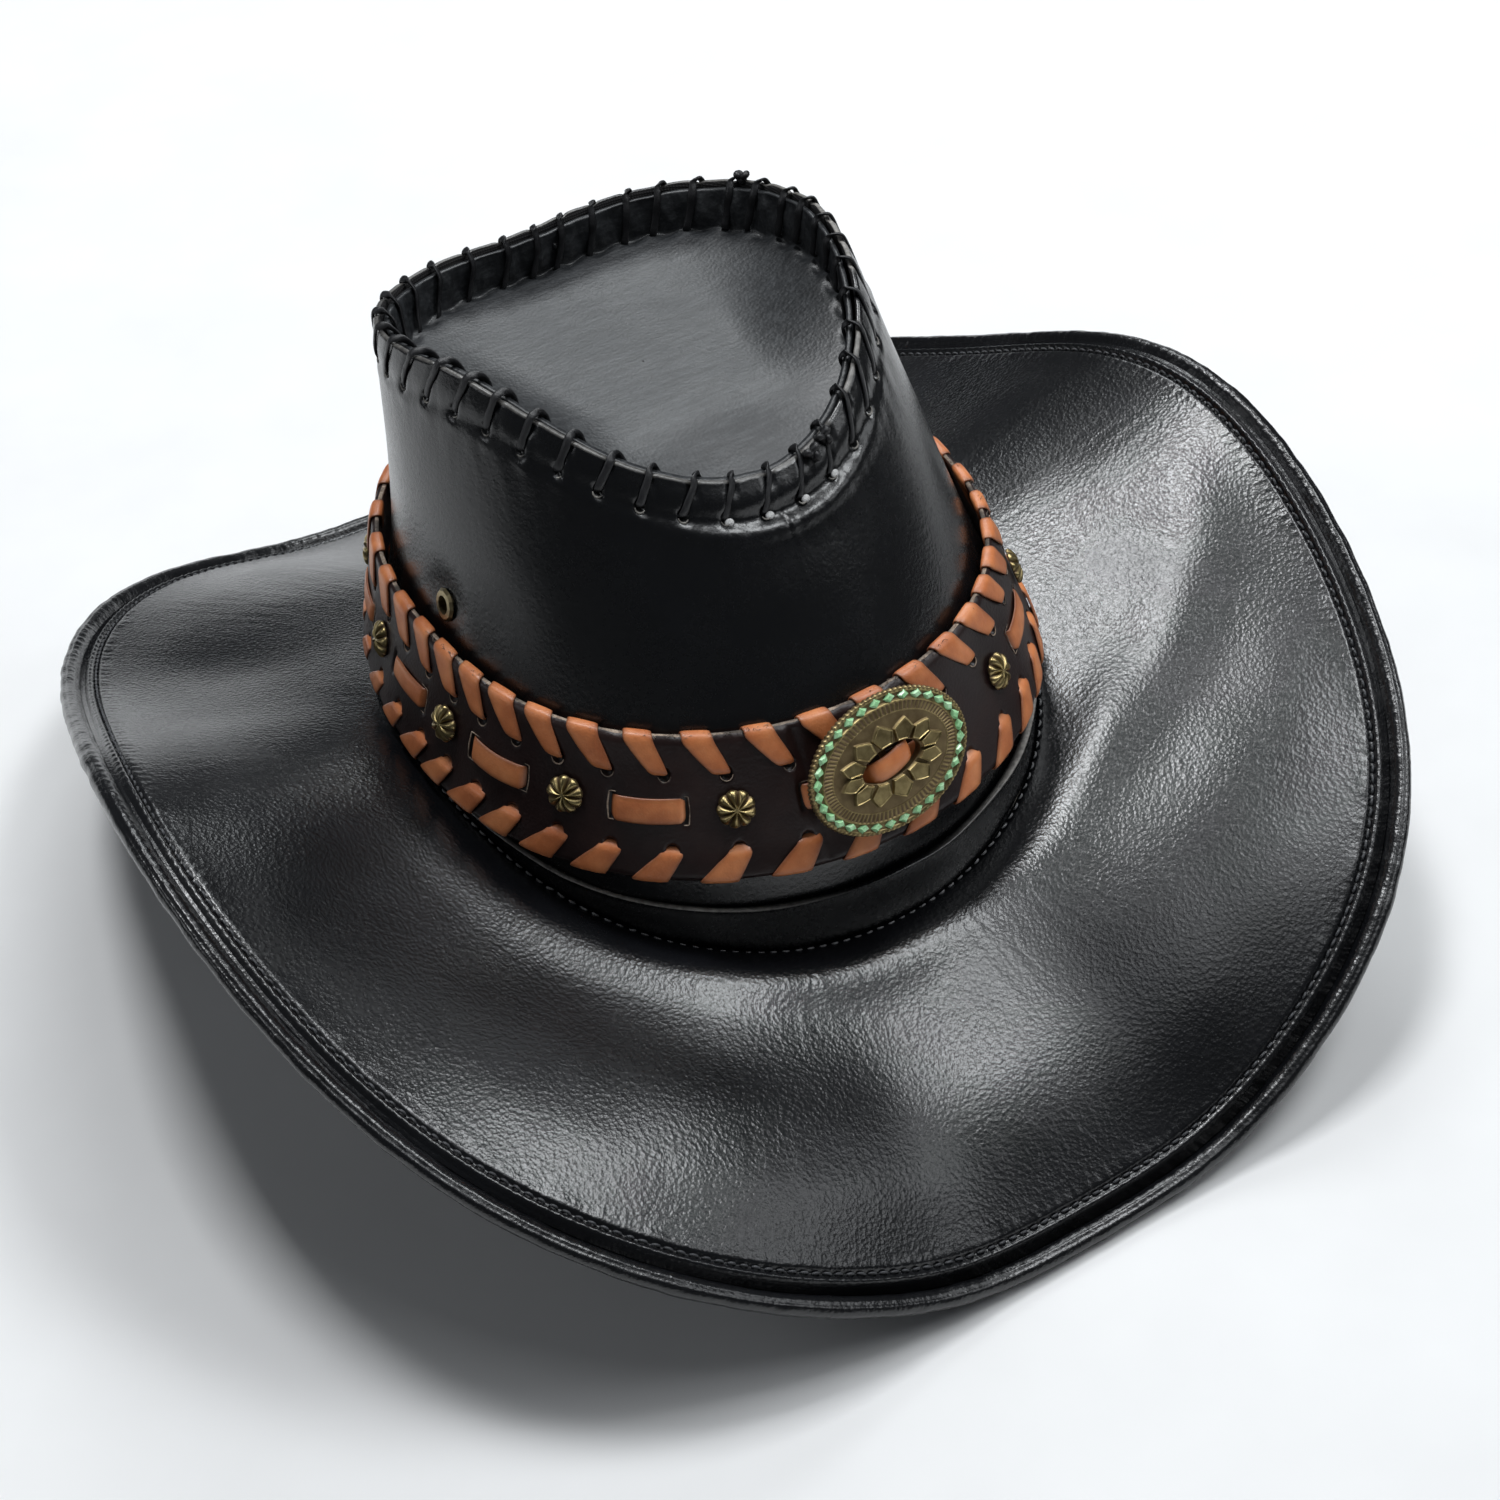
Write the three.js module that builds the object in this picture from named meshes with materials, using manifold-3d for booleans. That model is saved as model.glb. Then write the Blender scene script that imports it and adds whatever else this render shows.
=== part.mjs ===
// Western hat of black leather with a laced crown, a rolled brim and a loose dark brown hat band.
// Millimetres, +Z up. The hat stands on its brim at z = 0, with its front towards -Y and the
// wearer's left at +X.
// Angles go round the crown: 0 at the front, 90 degrees at the wearer's left, 180 degrees at the back.
import * as THREE from 'three';
import { mergeVertices } from 'three/addons/utils/BufferGeometryUtils.js';
import Module from 'manifold-3d';

const wasm = await Module();
wasm.setup();

// ---- Driving dimensions -------------------------------------------------------------------------
// A list of seven numbers gives a closed outline, the same on both sides: its values every
// 30 degrees from the front (first) over the side (fourth) to the back (last).

const STATIONS = 40;              // steps round every outline
const GAP = 0.35;                 // clearance between parts that touch

// Crown: four outlines from the foot to the top edge
const FOOT_RADII = [97.5, 98.5, 93, 85.5, 87.5, 95.5, 100.5];
const GIRDLE_RADII = [94.5, 94, 89.8, 84, 85.5, 92.4, 96.9];
const WAIST_RADII = [78.6, 79, 77.5, 74.2, 79.2, 87.2, 90.6];
const RIM_RADII = [60, 59, 57, 60, 69, 66, 57];
const SEAM_HEIGHTS = [41.5, 49.5, 65, 73, 65.5, 50, 42];
const GIRDLE_HEIGHTS = [75, 76, 78, 81, 78, 75, 74];
const WAIST_HEIGHT = 109;
const RIM_HEIGHTS = [156, 163, 175, 179.5, 173.5, 168.5, 167.5];
const RIM_SHIFT = 16.5;           // the top edge lies this far back
const FOOT_BELOW_SEAM = 3.5;
const WALL = 2.0;

// Recessed top panel, its turned-up flange and the lace over the edge
const PANEL_THICKNESS = 1.4;
const FLANGE_LEAN = 3.5;
const FLANGE_FOOT = 0.94;         // share of the wall's height where the flange turns up
const PANEL_CENTRE_HEIGHT = 156;
const PANEL_FLAT_SHARE = 0.45;    // share of the panel that is level
const CROWN_LACE = 1.5;
const CROWN_LACE_FOOT = 0.965;    // share of the wall's height that the lace reaches down to

// Collar outside the crown's foot and sweatband inside it
const COLLAR_THICKNESS = 1.2;
const COLLAR_TOPS = [59, 63, 70, 75.5, 70, 63, 59];
const SWEATBAND_THICKNESS = 1.1;
const SWEATBAND_TOP = 0.33;       // share of the wall's height

// Brim: outline and height of the middle of its edge, and how steeply it leaves the crown and ends
const EDGE_RADII = [187.3, 199, 187, 169.7, 175, 194.5, 187.3];
const EDGE_HEIGHTS = [-2, 33.5, 77.5, 99, 63.5, 27.5, -1.5];
const EDGE_REST_HEIGHT = 2.2;     // the edge is flattened to this height where the hat stands on it
const INNER_SLOPES = [-4, 4, 6, 12, -6, -10, -16];
const OUTER_SLOPES = [-35, -21, 9, 24, 8, -16, -26];
const BRIM_SHEET = 1.2;
const BRIM_BOARD = 0.9;
const BRIM_ROWS = [0, 0.25, 0.5, 0.75, 0.92, 1];
const WELT_RADIUS = 2.7;
const WELT_INNER_RADIUS = 1.6;
const WELT_MOUTH = 25;            // half the welt's opening, in degrees
const WIRE_RADIUS = 1.1;

// Eyelets at both sides of the crown
const EYELET_SHARE = 0.715;       // place up the wall
const EYELET_HOLE = 3.4;
const EYELET_BORE = 2.3;
const EYELET_BARREL = 2.9;
const EYELET_FLANGE = 4.6;

// Hat band
const BAND_BOTTOM_RADII = [100.5, 99.8, 95.3, 89, 90.5, 97.5, 102];
const BAND_TOP_RADII = [83.5, 83.8, 82.3, 79, 84, 92, 95.5];
const BAND_BOTTOM_HEIGHTS = [74, 74.7, 76, 77, 76, 74.7, 74];
const BAND_HEIGHT = 34;
const STRAP = 2.0;
const LACE = 1.0;
const LACE_OVERLAP = 7;           // how far the edge laces reach down the strap
const LACE_GAP = 0.5;
const STATION_COUNT = 13;         // one big concho and twelve small ones round the band
const PITCH = 2 * Math.PI / STATION_COUNT;
const STATION_SHIFT = 0.05;       // small conchos and stitches sit this much further round, radians
const DASH_SHARE = 0.27;          // half of a stitch of the centre lace, as a share of the pitch
const CROSSING_SHARE = 0.37;      // where the centre lace has reached the strap's inside
const CENTRE_LACE_HEIGHT = 6;
const SLOT = { length: 8.6, height: 10, depth: 9 };
const BUTT_GAP = 0.8;             // between the strap's two ends, at the back

// Conchos
const SMALL_CONCHO = { radius: 5.1, height: 2.4, lobes: 8, standoff: 0.5 };
const BIG_CONCHO = { long: 24, short: 17.4, tilt: 6.5, rise: 3.2, standoff: 4.2, thickness: 1.6, dome: 1.0 };
const BIG_SLOT = { long: 9.2, short: 4.2 };
const INLAY = { from: 0.83, to: 0.93, depth: 0.7, rise: 0.5 };
const CROSSBAR = { width: 2, thickness: 1, length: 12 };
const CONCHO_LACE = { width: 6, thickness: 1.0, halfSpan: 6.2, rise: 2.6 };

// ---- Materials ----------------------------------------------------------------------------------

const look = (color, roughness, metalness = 0) => (
  new THREE.MeshStandardMaterial({ color, roughness, metalness })
);
const blackLeather = () => look(0x15171b, 0.4);
const blackLining = () => look(0x1c1b1c, 0.8);
const brownLeather = () => look(0x2a1a16, 0.45);
const tanLace = () => look(0xb5653c, 0.55);
const brass = () => look(0x8c7c46, 0.4, 0.9);

// ---- Helpers ------------------------------------------------------------------------------------

const degrees = (angle) => angle * Math.PI / 180;

// Smooth closed outline through values at equal steps from the front to the back.
function outline(values) {
  const last = values.length - 1;
  const isEnd = (index) => index === 0 || index === last;
  const weights = values.map((_, k) => {
    const sum = values.reduce((total, value, j) => {
      return total + (isEnd(j) ? 0.5 : 1) * value * Math.cos(k * j * Math.PI / last);
    }, 0);
    return sum * (isEnd(k) ? 1 : 2) / last;
  });
  return (angle) => weights.reduce((total, weight, k) => total + weight * Math.cos(k * angle), 0);
}

// Point at an angle, a radius and a height, round an axis that lies `shift` towards the back.
function around(angle, radius, height, shift = 0) {
  return new THREE.Vector3(radius * Math.sin(angle), shift - radius * Math.cos(angle), height);
}

// Keeps only positions, merges the shared ones and drops triangles without area.
function closedBody(geometry) {
  geometry.deleteAttribute('normal');
  geometry.deleteAttribute('uv');
  const merged = mergeVertices(geometry, 1e-5);
  const index = Array.from(merged.index.array);
  const kept = [];
  for (let i = 0; i < index.length; i += 3) {
    const [a, b, c] = index.slice(i, i + 3);
    if (a !== b && b !== c && c !== a) kept.push(a, b, c);
  }
  merged.setIndex(kept);
  merged.computeVertexNormals();
  return merged;
}

// A turned body bent to the hat's outlines: sectionAt(angle) gives its section's points there,
// anticlockwise with the outside to the right. An open section starts and ends on the axis.
function bentLathe(sectionAt, { open = false, angles = null } = {}) {
  const steps = angles ?? Array.from({ length: STATIONS }, (_, i) => 2 * Math.PI * i / STATIONS);
  const sections = steps.map((angle) => sectionAt(angle));
  const count = sections[0].length + (open ? 0 : 1);
  const profile = Array.from({ length: count }, (_, j) => new THREE.Vector2(1, j));
  const geometry = new THREE.LatheGeometry(profile, steps.length);
  const position = geometry.getAttribute('position');
  for (let i = 0; i <= steps.length; i += 1) {
    const section = sections[i % steps.length];
    for (let j = 0; j < count; j += 1) {
      const point = section[j % section.length];
      position.setXYZ(i * count + j, point.x, point.y, point.z);
    }
  }
  alignDiagonals(geometry, steps, count);
  return closedBody(geometry);
}

// Splits each four-sided facet the same way on neighbouring bodies, mirrored left and right, so that
// faces that follow one outline stay parallel.
function alignDiagonals(geometry, steps, count) {
  const position = geometry.getAttribute('position');
  const rowKey = (vertex) => position.getZ(vertex) - Math.hypot(position.getX(vertex), position.getY(vertex));
  const index = geometry.index.array;
  steps.forEach((angle, i) => {
    const onLeft = Math.sin(angle + 1e-3) > 0;
    for (let j = 0; j < count - 1; j += 1) {
      const a = i * count + j;
      const b = a + count;
      const rising = rowKey(a + 1) + rowKey(b + 1) > rowKey(a) + rowKey(b);
      const corners = rising === onLeft ? [a, b, b + 1, a, b + 1, a + 1] : [a, b, a + 1, b + 1, a + 1, b];
      index.set(corners, 6 * (i * (count - 1) + j));
    }
  });
}

function toManifold(geometry) {
  const body = geometry.index && !geometry.getAttribute('normal') ? geometry : closedBody(geometry.clone());
  return new wasm.Manifold(new wasm.Mesh({
    numProp: 3,
    vertProperties: Float32Array.from(body.getAttribute('position').array),
    triVerts: Uint32Array.from(body.index.array),
  }));
}

// Cuts the cutters out of a body. Each cutter is a mesh, used at its place.
function cut(geometry, cutters) {
  let solid = toManifold(geometry);
  for (const cutter of cutters) {
    cutter.updateMatrixWorld(true);
    solid = solid.subtract(toManifold(cutter.geometry.clone().applyMatrix4(cutter.matrixWorld)));
  }
  const mesh = solid.getMesh();
  const result = new THREE.BufferGeometry();
  result.setAttribute('position', new THREE.BufferAttribute(Float32Array.from(mesh.vertProperties), 3));
  result.setIndex(Array.from(mesh.triVerts));
  result.computeVertexNormals();
  return result;
}

function part(name, geometry, material) {
  const mesh = new THREE.Mesh(geometry, material);
  mesh.name = name;
  return mesh;
}

// Turns an object so that its local X, Y and Z lie along the given directions.
function orient(object, x, y, z) {
  object.quaternion.setFromRotationMatrix(new THREE.Matrix4().makeBasis(x, y, z));
}

// ---- Crown --------------------------------------------------------------------------------------

const seamHeight = outline(SEAM_HEIGHTS);
const footRadius = outline(FOOT_RADII);
const girdleRadius = outline(GIRDLE_RADII);
const girdleHeight = outline(GIRDLE_HEIGHTS);
const waistRadius = outline(WAIST_RADII);
const rimRadius = outline(RIM_RADII);
const rimHeight = outline(RIM_HEIGHTS);
const collarTop = outline(COLLAR_TOPS);

// Point on the crown's wall: share 0 at the foot to 1 at the top edge, moved in by inset.
function crownPoint(angle, share, inset = 0) {
  const curve = new THREE.CatmullRomCurve3([
    around(angle, footRadius(angle) - inset, seamHeight(angle) - FOOT_BELOW_SEAM),
    around(angle, girdleRadius(angle) - inset, girdleHeight(angle)),
    around(angle, waistRadius(angle) - inset, WAIST_HEIGHT),
    around(angle, rimRadius(angle) - inset, rimHeight(angle), RIM_SHIFT),
  ]);
  return curve.getPoint(share);
}

// Share of the wall's height at which it reaches a height.
function crownShareAt(angle, height) {
  let low = 0;
  let high = 1;
  for (let i = 0; i < 30; i += 1) {
    const middle = (low + high) / 2;
    if (crownPoint(angle, middle).z < height) low = middle;
    else high = middle;
  }
  return low;
}

function eyeletFrame(side) {
  const angle = side * Math.PI / 2;
  const centre = crownPoint(angle, EYELET_SHARE);
  const up = crownPoint(angle, EYELET_SHARE + 0.02).sub(crownPoint(angle, EYELET_SHARE - 0.02)).normalize();
  const outward = new THREE.Vector3(side, 0, 0);
  outward.addScaledVector(up, -outward.dot(up)).normalize();
  return { centre, outward, up, along: new THREE.Vector3().crossVectors(outward, up) };
}

function crownWall() {
  const shares = [0, SWEATBAND_TOP / 2, SWEATBAND_TOP, 0.55, EYELET_SHARE, FLANGE_FOOT, CROWN_LACE_FOOT, 1];
  const body = bentLathe((angle) => [
    ...shares.map((share) => crownPoint(angle, share)),
    ...shares.toReversed().map((share) => crownPoint(angle, share, WALL)),
  ]);
  const holes = [-1, 1].map((side) => {
    const hole = new THREE.Mesh(new THREE.CylinderGeometry(EYELET_HOLE, EYELET_HOLE, 12, 12));
    const { centre, outward, up, along } = eyeletFrame(side);
    orient(hole, up, outward, along.negate());
    hole.position.copy(centre);
    return hole;
  });
  return part('crown_wall', cut(body, holes), blackLeather());
}

// The flange stands against the wall at its top and leans inwards at its foot.
function flangeInset(share) {
  const down = (1 - share) / (1 - FLANGE_FOOT);
  return WALL + GAP + FLANGE_LEAN * down;
}

function crownTopPanel() {
  const onPanel = (angle, reach, drop) => {
    const border = crownPoint(angle, FLANGE_FOOT, flangeInset(FLANGE_FOOT) + PANEL_THICKNESS);
    const bend = Math.max(0, (reach - PANEL_FLAT_SHARE) / (1 - PANEL_FLAT_SHARE));
    const height = THREE.MathUtils.lerp(PANEL_CENTRE_HEIGHT, border.z, bend * bend * (2 - bend));
    return new THREE.Vector3(border.x * reach, RIM_SHIFT + (border.y - RIM_SHIFT) * reach, height - drop);
  };
  const top = 0.992;
  const rows = [0, PANEL_FLAT_SHARE, 0.75, 1];
  return part('crown_top_panel', bentLathe((angle) => [
    ...rows.slice(0, 3).map((reach) => onPanel(angle, reach, PANEL_THICKNESS)),
    crownPoint(angle, FLANGE_FOOT - 0.02, flangeInset(FLANGE_FOOT)),
    crownPoint(angle, CROWN_LACE_FOOT, flangeInset(CROWN_LACE_FOOT)),
    crownPoint(angle, top, flangeInset(top)),
    crownPoint(angle, top, flangeInset(top) + PANEL_THICKNESS),
    crownPoint(angle, CROWN_LACE_FOOT, flangeInset(CROWN_LACE_FOOT) + PANEL_THICKNESS),
    ...rows.toReversed().map((reach) => onPanel(angle, reach, 0)),
  ], { open: true }), blackLeather());
}

// One plain saddle stands for the round lace that is whipped over the edge.
function crownLacing() {
  const innerFoot = flangeInset(CROWN_LACE_FOOT) + PANEL_THICKNESS + GAP;
  const innerTop = flangeInset(1) + PANEL_THICKNESS + GAP;
  const lifted = (angle, inset, rise) => crownPoint(angle, 1, inset).add(new THREE.Vector3(0, 0, rise));
  return part('crown_lacing', bentLathe((angle) => [
    crownPoint(angle, CROWN_LACE_FOOT, -GAP),
    crownPoint(angle, CROWN_LACE_FOOT, -GAP - CROWN_LACE),
    lifted(angle, -GAP - CROWN_LACE / 2, GAP + CROWN_LACE),
    lifted(angle, innerTop + CROWN_LACE / 2, GAP + CROWN_LACE),
    crownPoint(angle, CROWN_LACE_FOOT, innerFoot + CROWN_LACE),
    crownPoint(angle, CROWN_LACE_FOOT, innerFoot),
    lifted(angle, innerTop, GAP),
    lifted(angle, -GAP, GAP),
  ]), look(0x0c0c0d, 0.6));
}

function crownCollar() {
  return part('crown_collar', bentLathe((angle) => {
    const foot = crownShareAt(angle, seamHeight(angle) + GAP);
    const top = crownShareAt(angle, collarTop(angle));
    const shares = [foot, (foot + top) / 2, top];
    return [
      ...shares.map((share) => crownPoint(angle, share, -GAP - COLLAR_THICKNESS)),
      ...shares.toReversed().map((share) => crownPoint(angle, share, -GAP)),
    ];
  }), blackLeather());
}

function sweatband() {
  const shares = [0.03, SWEATBAND_TOP / 2, SWEATBAND_TOP];
  return part('sweatband', bentLathe((angle) => [
    ...shares.map((share) => crownPoint(angle, share, WALL + GAP)),
    ...shares.toReversed().map((share) => crownPoint(angle, share, WALL + GAP + SWEATBAND_THICKNESS)),
  ]), look(0x201a18, 0.7));
}

function eyelet(side) {
  const profile = [
    [EYELET_BORE, -4.4], [EYELET_BARREL, -4.4], [EYELET_BARREL, 0.4], [EYELET_FLANGE, 0.4],
    [EYELET_FLANGE - 0.7, 1.1], [EYELET_BORE + 0.3, 1.2], [EYELET_BORE, -4.4],
  ];
  return eyeletPiece(side, profile);
}

function eyeletWasher(side) {
  const inner = EYELET_BARREL + GAP;
  const profile = [[inner, -3.7], [EYELET_FLANGE, -3.7], [EYELET_FLANGE, -3.0], [inner, -3.0], [inner, -3.7]];
  return eyeletPiece(side, profile);
}

function eyeletPiece(side, profile) {
  const points = profile.map(([radius, height]) => new THREE.Vector2(radius, height));
  const mesh = new THREE.Mesh(closedBody(new THREE.LatheGeometry(points, 12)), brass());
  const { centre, outward, up, along } = eyeletFrame(side);
  orient(mesh, up, outward, along.negate());
  mesh.position.copy(centre);
  return mesh;
}

// ---- Brim ---------------------------------------------------------------------------------------

const edgeRadius = outline(EDGE_RADII);
const edgeHeightFree = outline(EDGE_HEIGHTS);
const innerSlope = outline(INNER_SLOPES);
const outerSlope = outline(OUTER_SLOPES);
const edgeHeight = (angle) => Math.max(EDGE_REST_HEIGHT, edgeHeightFree(angle));
const BRIM_THICKNESS = 2 * BRIM_SHEET + BRIM_BOARD + 2 * GAP;

// Point in the brim: reach 0 at the crown to 1 beside the welt, `below` under its top face.
function brimPoint(angle, reach, below) {
  const start = footRadius(angle) + GAP + 0.1;
  const end = edgeRadius(angle) - WELT_RADIUS - GAP - 0.25;
  const span = end - start;
  const startHeight = seamHeight(angle) - BRIM_THICKNESS / 2;
  const r2 = reach * reach;
  const r3 = r2 * reach;
  const middle = startHeight * (2 * r3 - 3 * r2 + 1) + edgeHeight(angle) * (3 * r2 - 2 * r3)
    + span * Math.tan(degrees(innerSlope(angle))) * (r3 - 2 * r2 + reach)
    + span * Math.tan(degrees(outerSlope(angle))) * (r3 - r2);
  return around(angle, start + span * reach, middle + BRIM_THICKNESS / 2 - below);
}

function brimLayer(name, from, to, material, rows = BRIM_ROWS) {
  return part(name, bentLathe((angle) => [
    ...rows.map((reach) => brimPoint(angle, reach, to)),
    ...rows.toReversed().map((reach) => brimPoint(angle, reach, from)),
  ]), material);
}

// The board stops short of the hem's seam.
function brimLayers() {
  const boardRows = BRIM_ROWS.slice(0, -1);
  const boardTop = BRIM_SHEET + GAP;
  const undersideTop = boardTop + BRIM_BOARD + GAP;
  return [
    brimLayer('brim_top', 0, BRIM_SHEET, blackLeather()),
    brimLayer('brim_interlining', boardTop, boardTop + BRIM_BOARD, look(0x8f8b82, 0.9), boardRows),
    brimLayer('brim_underside', undersideTop, undersideTop + BRIM_SHEET, blackLining()),
  ];
}

// Ring of a round section on the brim's edge; a C-shaped section opens towards the crown.
function edgeRing(angle, radius, turn) {
  const radial = edgeRadius(angle) - radius * Math.cos(turn);
  const height = edgeHeight(angle) + radius * Math.sin(turn);
  return around(angle, radial, Math.max(0, height));
}

function brimEdgeWelt() {
  const from = degrees(WELT_MOUTH);
  const to = 2 * Math.PI - from;
  const arc = (count) => Array.from({ length: count }, (_, i) => from + (to - from) * i / (count - 1));
  return part('brim_edge_welt', bentLathe((angle) => [
    ...arc(8).toReversed().map((turn) => edgeRing(angle, WELT_RADIUS, turn)),
    ...arc(5).map((turn) => edgeRing(angle, WELT_INNER_RADIUS, turn)),
  ]), blackLeather());
}

function brimWire() {
  const turns = Array.from({ length: 5 }, (_, i) => -2 * Math.PI * i / 5);
  return part('brim_wire', bentLathe((angle) => turns.map((turn) => edgeRing(angle, WIRE_RADIUS, turn))),
    look(0x8a8d90, 0.35, 1));
}

// ---- Hat band -----------------------------------------------------------------------------------

const bandBottomRadius = outline(BAND_BOTTOM_RADII);
const bandTopRadius = outline(BAND_TOP_RADII);
const bandBottomHeight = outline(BAND_BOTTOM_HEIGHTS);

// Point on the strap's outer face: share 0 at its lower edge to 1 at its upper edge, moved out and up.
function bandPoint(angle, share, out = 0, rise = 0) {
  const radius = THREE.MathUtils.lerp(bandBottomRadius(angle), bandTopRadius(angle), share) + out;
  return around(angle, radius, bandBottomHeight(angle) + BAND_HEIGHT * share + rise);
}

// Directions on the strap's outer face: along it, up its slope and out of it.
function bandFrame(angle) {
  const along = bandPoint(angle + 0.01, 0.5).sub(bandPoint(angle - 0.01, 0.5)).normalize();
  const up = bandPoint(angle, 1).sub(bandPoint(angle, 0)).normalize();
  const outward = new THREE.Vector3().crossVectors(along, up).normalize();
  const steepest = new THREE.Vector3().crossVectors(outward, along);
  return { centre: bandPoint(angle, 0.5), along, up: steepest, outward };
}

function slotCutter(angle, length) {
  const cutter = new THREE.Mesh(new THREE.BoxGeometry(length, SLOT.height, SLOT.depth));
  const { centre, along, up, outward } = bandFrame(angle);
  orient(cutter, along, up, outward);
  cutter.position.copy(centre);
  return cutter;
}

function bandStrap() {
  const ring = bentLathe((angle) => [
    bandPoint(angle, 0, -STRAP), bandPoint(angle, 0), bandPoint(angle, 1), bandPoint(angle, 1, -STRAP),
  ]);
  const cutters = [];
  for (let i = 0; i < STATION_COUNT; i += 1) {
    const middle = (i + 0.5) * PITCH + STATION_SHIFT;
    const crossing = (DASH_SHARE + CROSSING_SHARE) / 2 * PITCH;
    cutters.push(slotCutter(middle - crossing, SLOT.length), slotCutter(middle + crossing, SLOT.length));
  }
  const seam = new THREE.Mesh(new THREE.BoxGeometry(BUTT_GAP, 40, 80));
  seam.position.copy(bandPoint(Math.PI, 0.5));
  return part('band_strap', cut(ring, [...cutters, seam]), brownLeather());
}

// Plain saddles stand for the flat laces that are whipped over the strap's edges.
function edgeLace(name, edge, inwards) {
  const inner = -STRAP - GAP;
  const legShare = edge + inwards * LACE_OVERLAP / BAND_HEIGHT;
  const clear = -inwards * GAP;
  const over = -inwards * (GAP + LACE);
  const section = (angle) => [
    bandPoint(angle, legShare, LACE_GAP),
    bandPoint(angle, legShare, LACE_GAP + LACE),
    bandPoint(angle, edge, LACE_GAP + LACE, over),
    bandPoint(angle, edge, inner - LACE, over),
    bandPoint(angle, legShare, inner - LACE),
    bandPoint(angle, legShare, inner),
    bandPoint(angle, edge, inner, clear),
    bandPoint(angle, edge, LACE_GAP, clear),
  ];
  const body = bentLathe((angle) => (inwards < 0 ? section(angle) : section(angle).toReversed()));
  return part(name, body, tanLace());
}

// The centre lace runs outside the strap between the conchos and inside it behind them.
function bandCentreLace() {
  const outside = LACE_GAP;
  const inside = -STRAP - LACE_GAP - LACE;
  const steps = [
    [-CROSSING_SHARE - 0.02, inside], [-DASH_SHARE, outside], [-DASH_SHARE / 2, outside], [0, outside],
    [DASH_SHARE / 2, outside], [DASH_SHARE, outside], [CROSSING_SHARE + 0.02, inside],
  ];
  const path = [];
  for (let i = 0; i < STATION_COUNT; i += 1) {
    for (const [share, out] of steps) path.push({ angle: (i + 0.5 + share) * PITCH + STATION_SHIFT, out });
  }
  const half = CENTRE_LACE_HEIGHT / 2 / BAND_HEIGHT;
  const sections = new Map(path.map(({ angle, out }) => [angle, [
    bandPoint(angle, 0.5 - half, out),
    bandPoint(angle, 0.5 - half, out + LACE),
    bandPoint(angle, 0.5 + half, out + LACE),
    bandPoint(angle, 0.5 + half, out),
  ]]));
  const body = bentLathe((angle) => sections.get(angle), { angles: path.map(({ angle }) => angle) });
  return part('band_centre_lace', body, tanLace());
}

function smallConcho(index) {
  const { radius, height, lobes, standoff } = SMALL_CONCHO;
  const profile = [[0, 0], [radius, 0], [radius * 0.92, height * 0.45], [radius * 0.35, height], [0, height]];
  const geometry = new THREE.LatheGeometry(profile.map(([r, h]) => new THREE.Vector2(r, h)), lobes * 2);
  const position = geometry.getAttribute('position');
  for (let i = 0; i < position.count; i += 1) {
    const turn = Math.round(Math.atan2(position.getX(i), position.getZ(i)) / (Math.PI / lobes));
    const pinch = Math.abs(turn) % 2 === 1 ? 0.9 : 1;
    position.setXYZ(i, position.getX(i) * pinch, position.getY(i), position.getZ(i) * pinch);
  }
  const name = `concho_${String(index).padStart(2, '0')}`;
  const mesh = part(name, closedBody(geometry), brass());
  const { centre, along, up, outward } = bandFrame(index * PITCH + STATION_SHIFT);
  orient(mesh, along, outward, up.negate());
  mesh.position.copy(centre).addScaledVector(outward, standoff);
  return mesh;
}

// ---- Big concho ---------------------------------------------------------------------------------

const CONCHO_STATIONS = 32;
const conchoAngles = Array.from({ length: CONCHO_STATIONS }, (_, i) => 2 * Math.PI * i / CONCHO_STATIONS);

// Point over the concho's oval: share 0 at the slot's border to 1 at the rim.
function ovalPoint(angle, share, height) {
  const long = THREE.MathUtils.lerp(BIG_SLOT.long, BIG_CONCHO.long, share);
  const short = THREE.MathUtils.lerp(BIG_SLOT.short, BIG_CONCHO.short, share);
  return new THREE.Vector3(long * Math.sin(angle), -short * Math.cos(angle), height);
}

const conchoFace = (share) => BIG_CONCHO.thickness + BIG_CONCHO.dome * (1 - share * share);

function conchoPlate() {
  const { from, to, depth } = INLAY;
  return part('centre_concho', bentLathe((angle) => [
    ovalPoint(angle, 0, 0),
    ovalPoint(angle, 1, 0),
    ovalPoint(angle, 1, conchoFace(1)),
    ovalPoint(angle, to, conchoFace(to)),
    ovalPoint(angle, to, conchoFace(to) - depth),
    ovalPoint(angle, from, conchoFace(from) - depth),
    ovalPoint(angle, from, conchoFace(from)),
    ovalPoint(angle, 0.4, conchoFace(0.4)),
    ovalPoint(angle, 0, conchoFace(0)),
  ], { angles: conchoAngles }), brass());
}

function conchoInlay() {
  const margin = 0.022;
  const from = INLAY.from + margin;
  const to = INLAY.to - margin;
  const base = conchoFace(from) - INLAY.depth + GAP;
  return part('concho_inlay', bentLathe((angle) => [
    ovalPoint(angle, from, base),
    ovalPoint(angle, to, base),
    ovalPoint(angle, to, base + INLAY.rise),
    ovalPoint(angle, from, base + INLAY.rise),
  ], { angles: conchoAngles }), look(0x86d8a8, 0.3));
}

// Flat bar behind the slot that the lace is looped over.
function conchoCrossbar() {
  const { width, thickness, length } = CROSSBAR;
  const mesh = part('concho_crossbar', new THREE.BoxGeometry(width, length, thickness), brass());
  mesh.position.z = -GAP - thickness / 2;
  return mesh;
}

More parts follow.
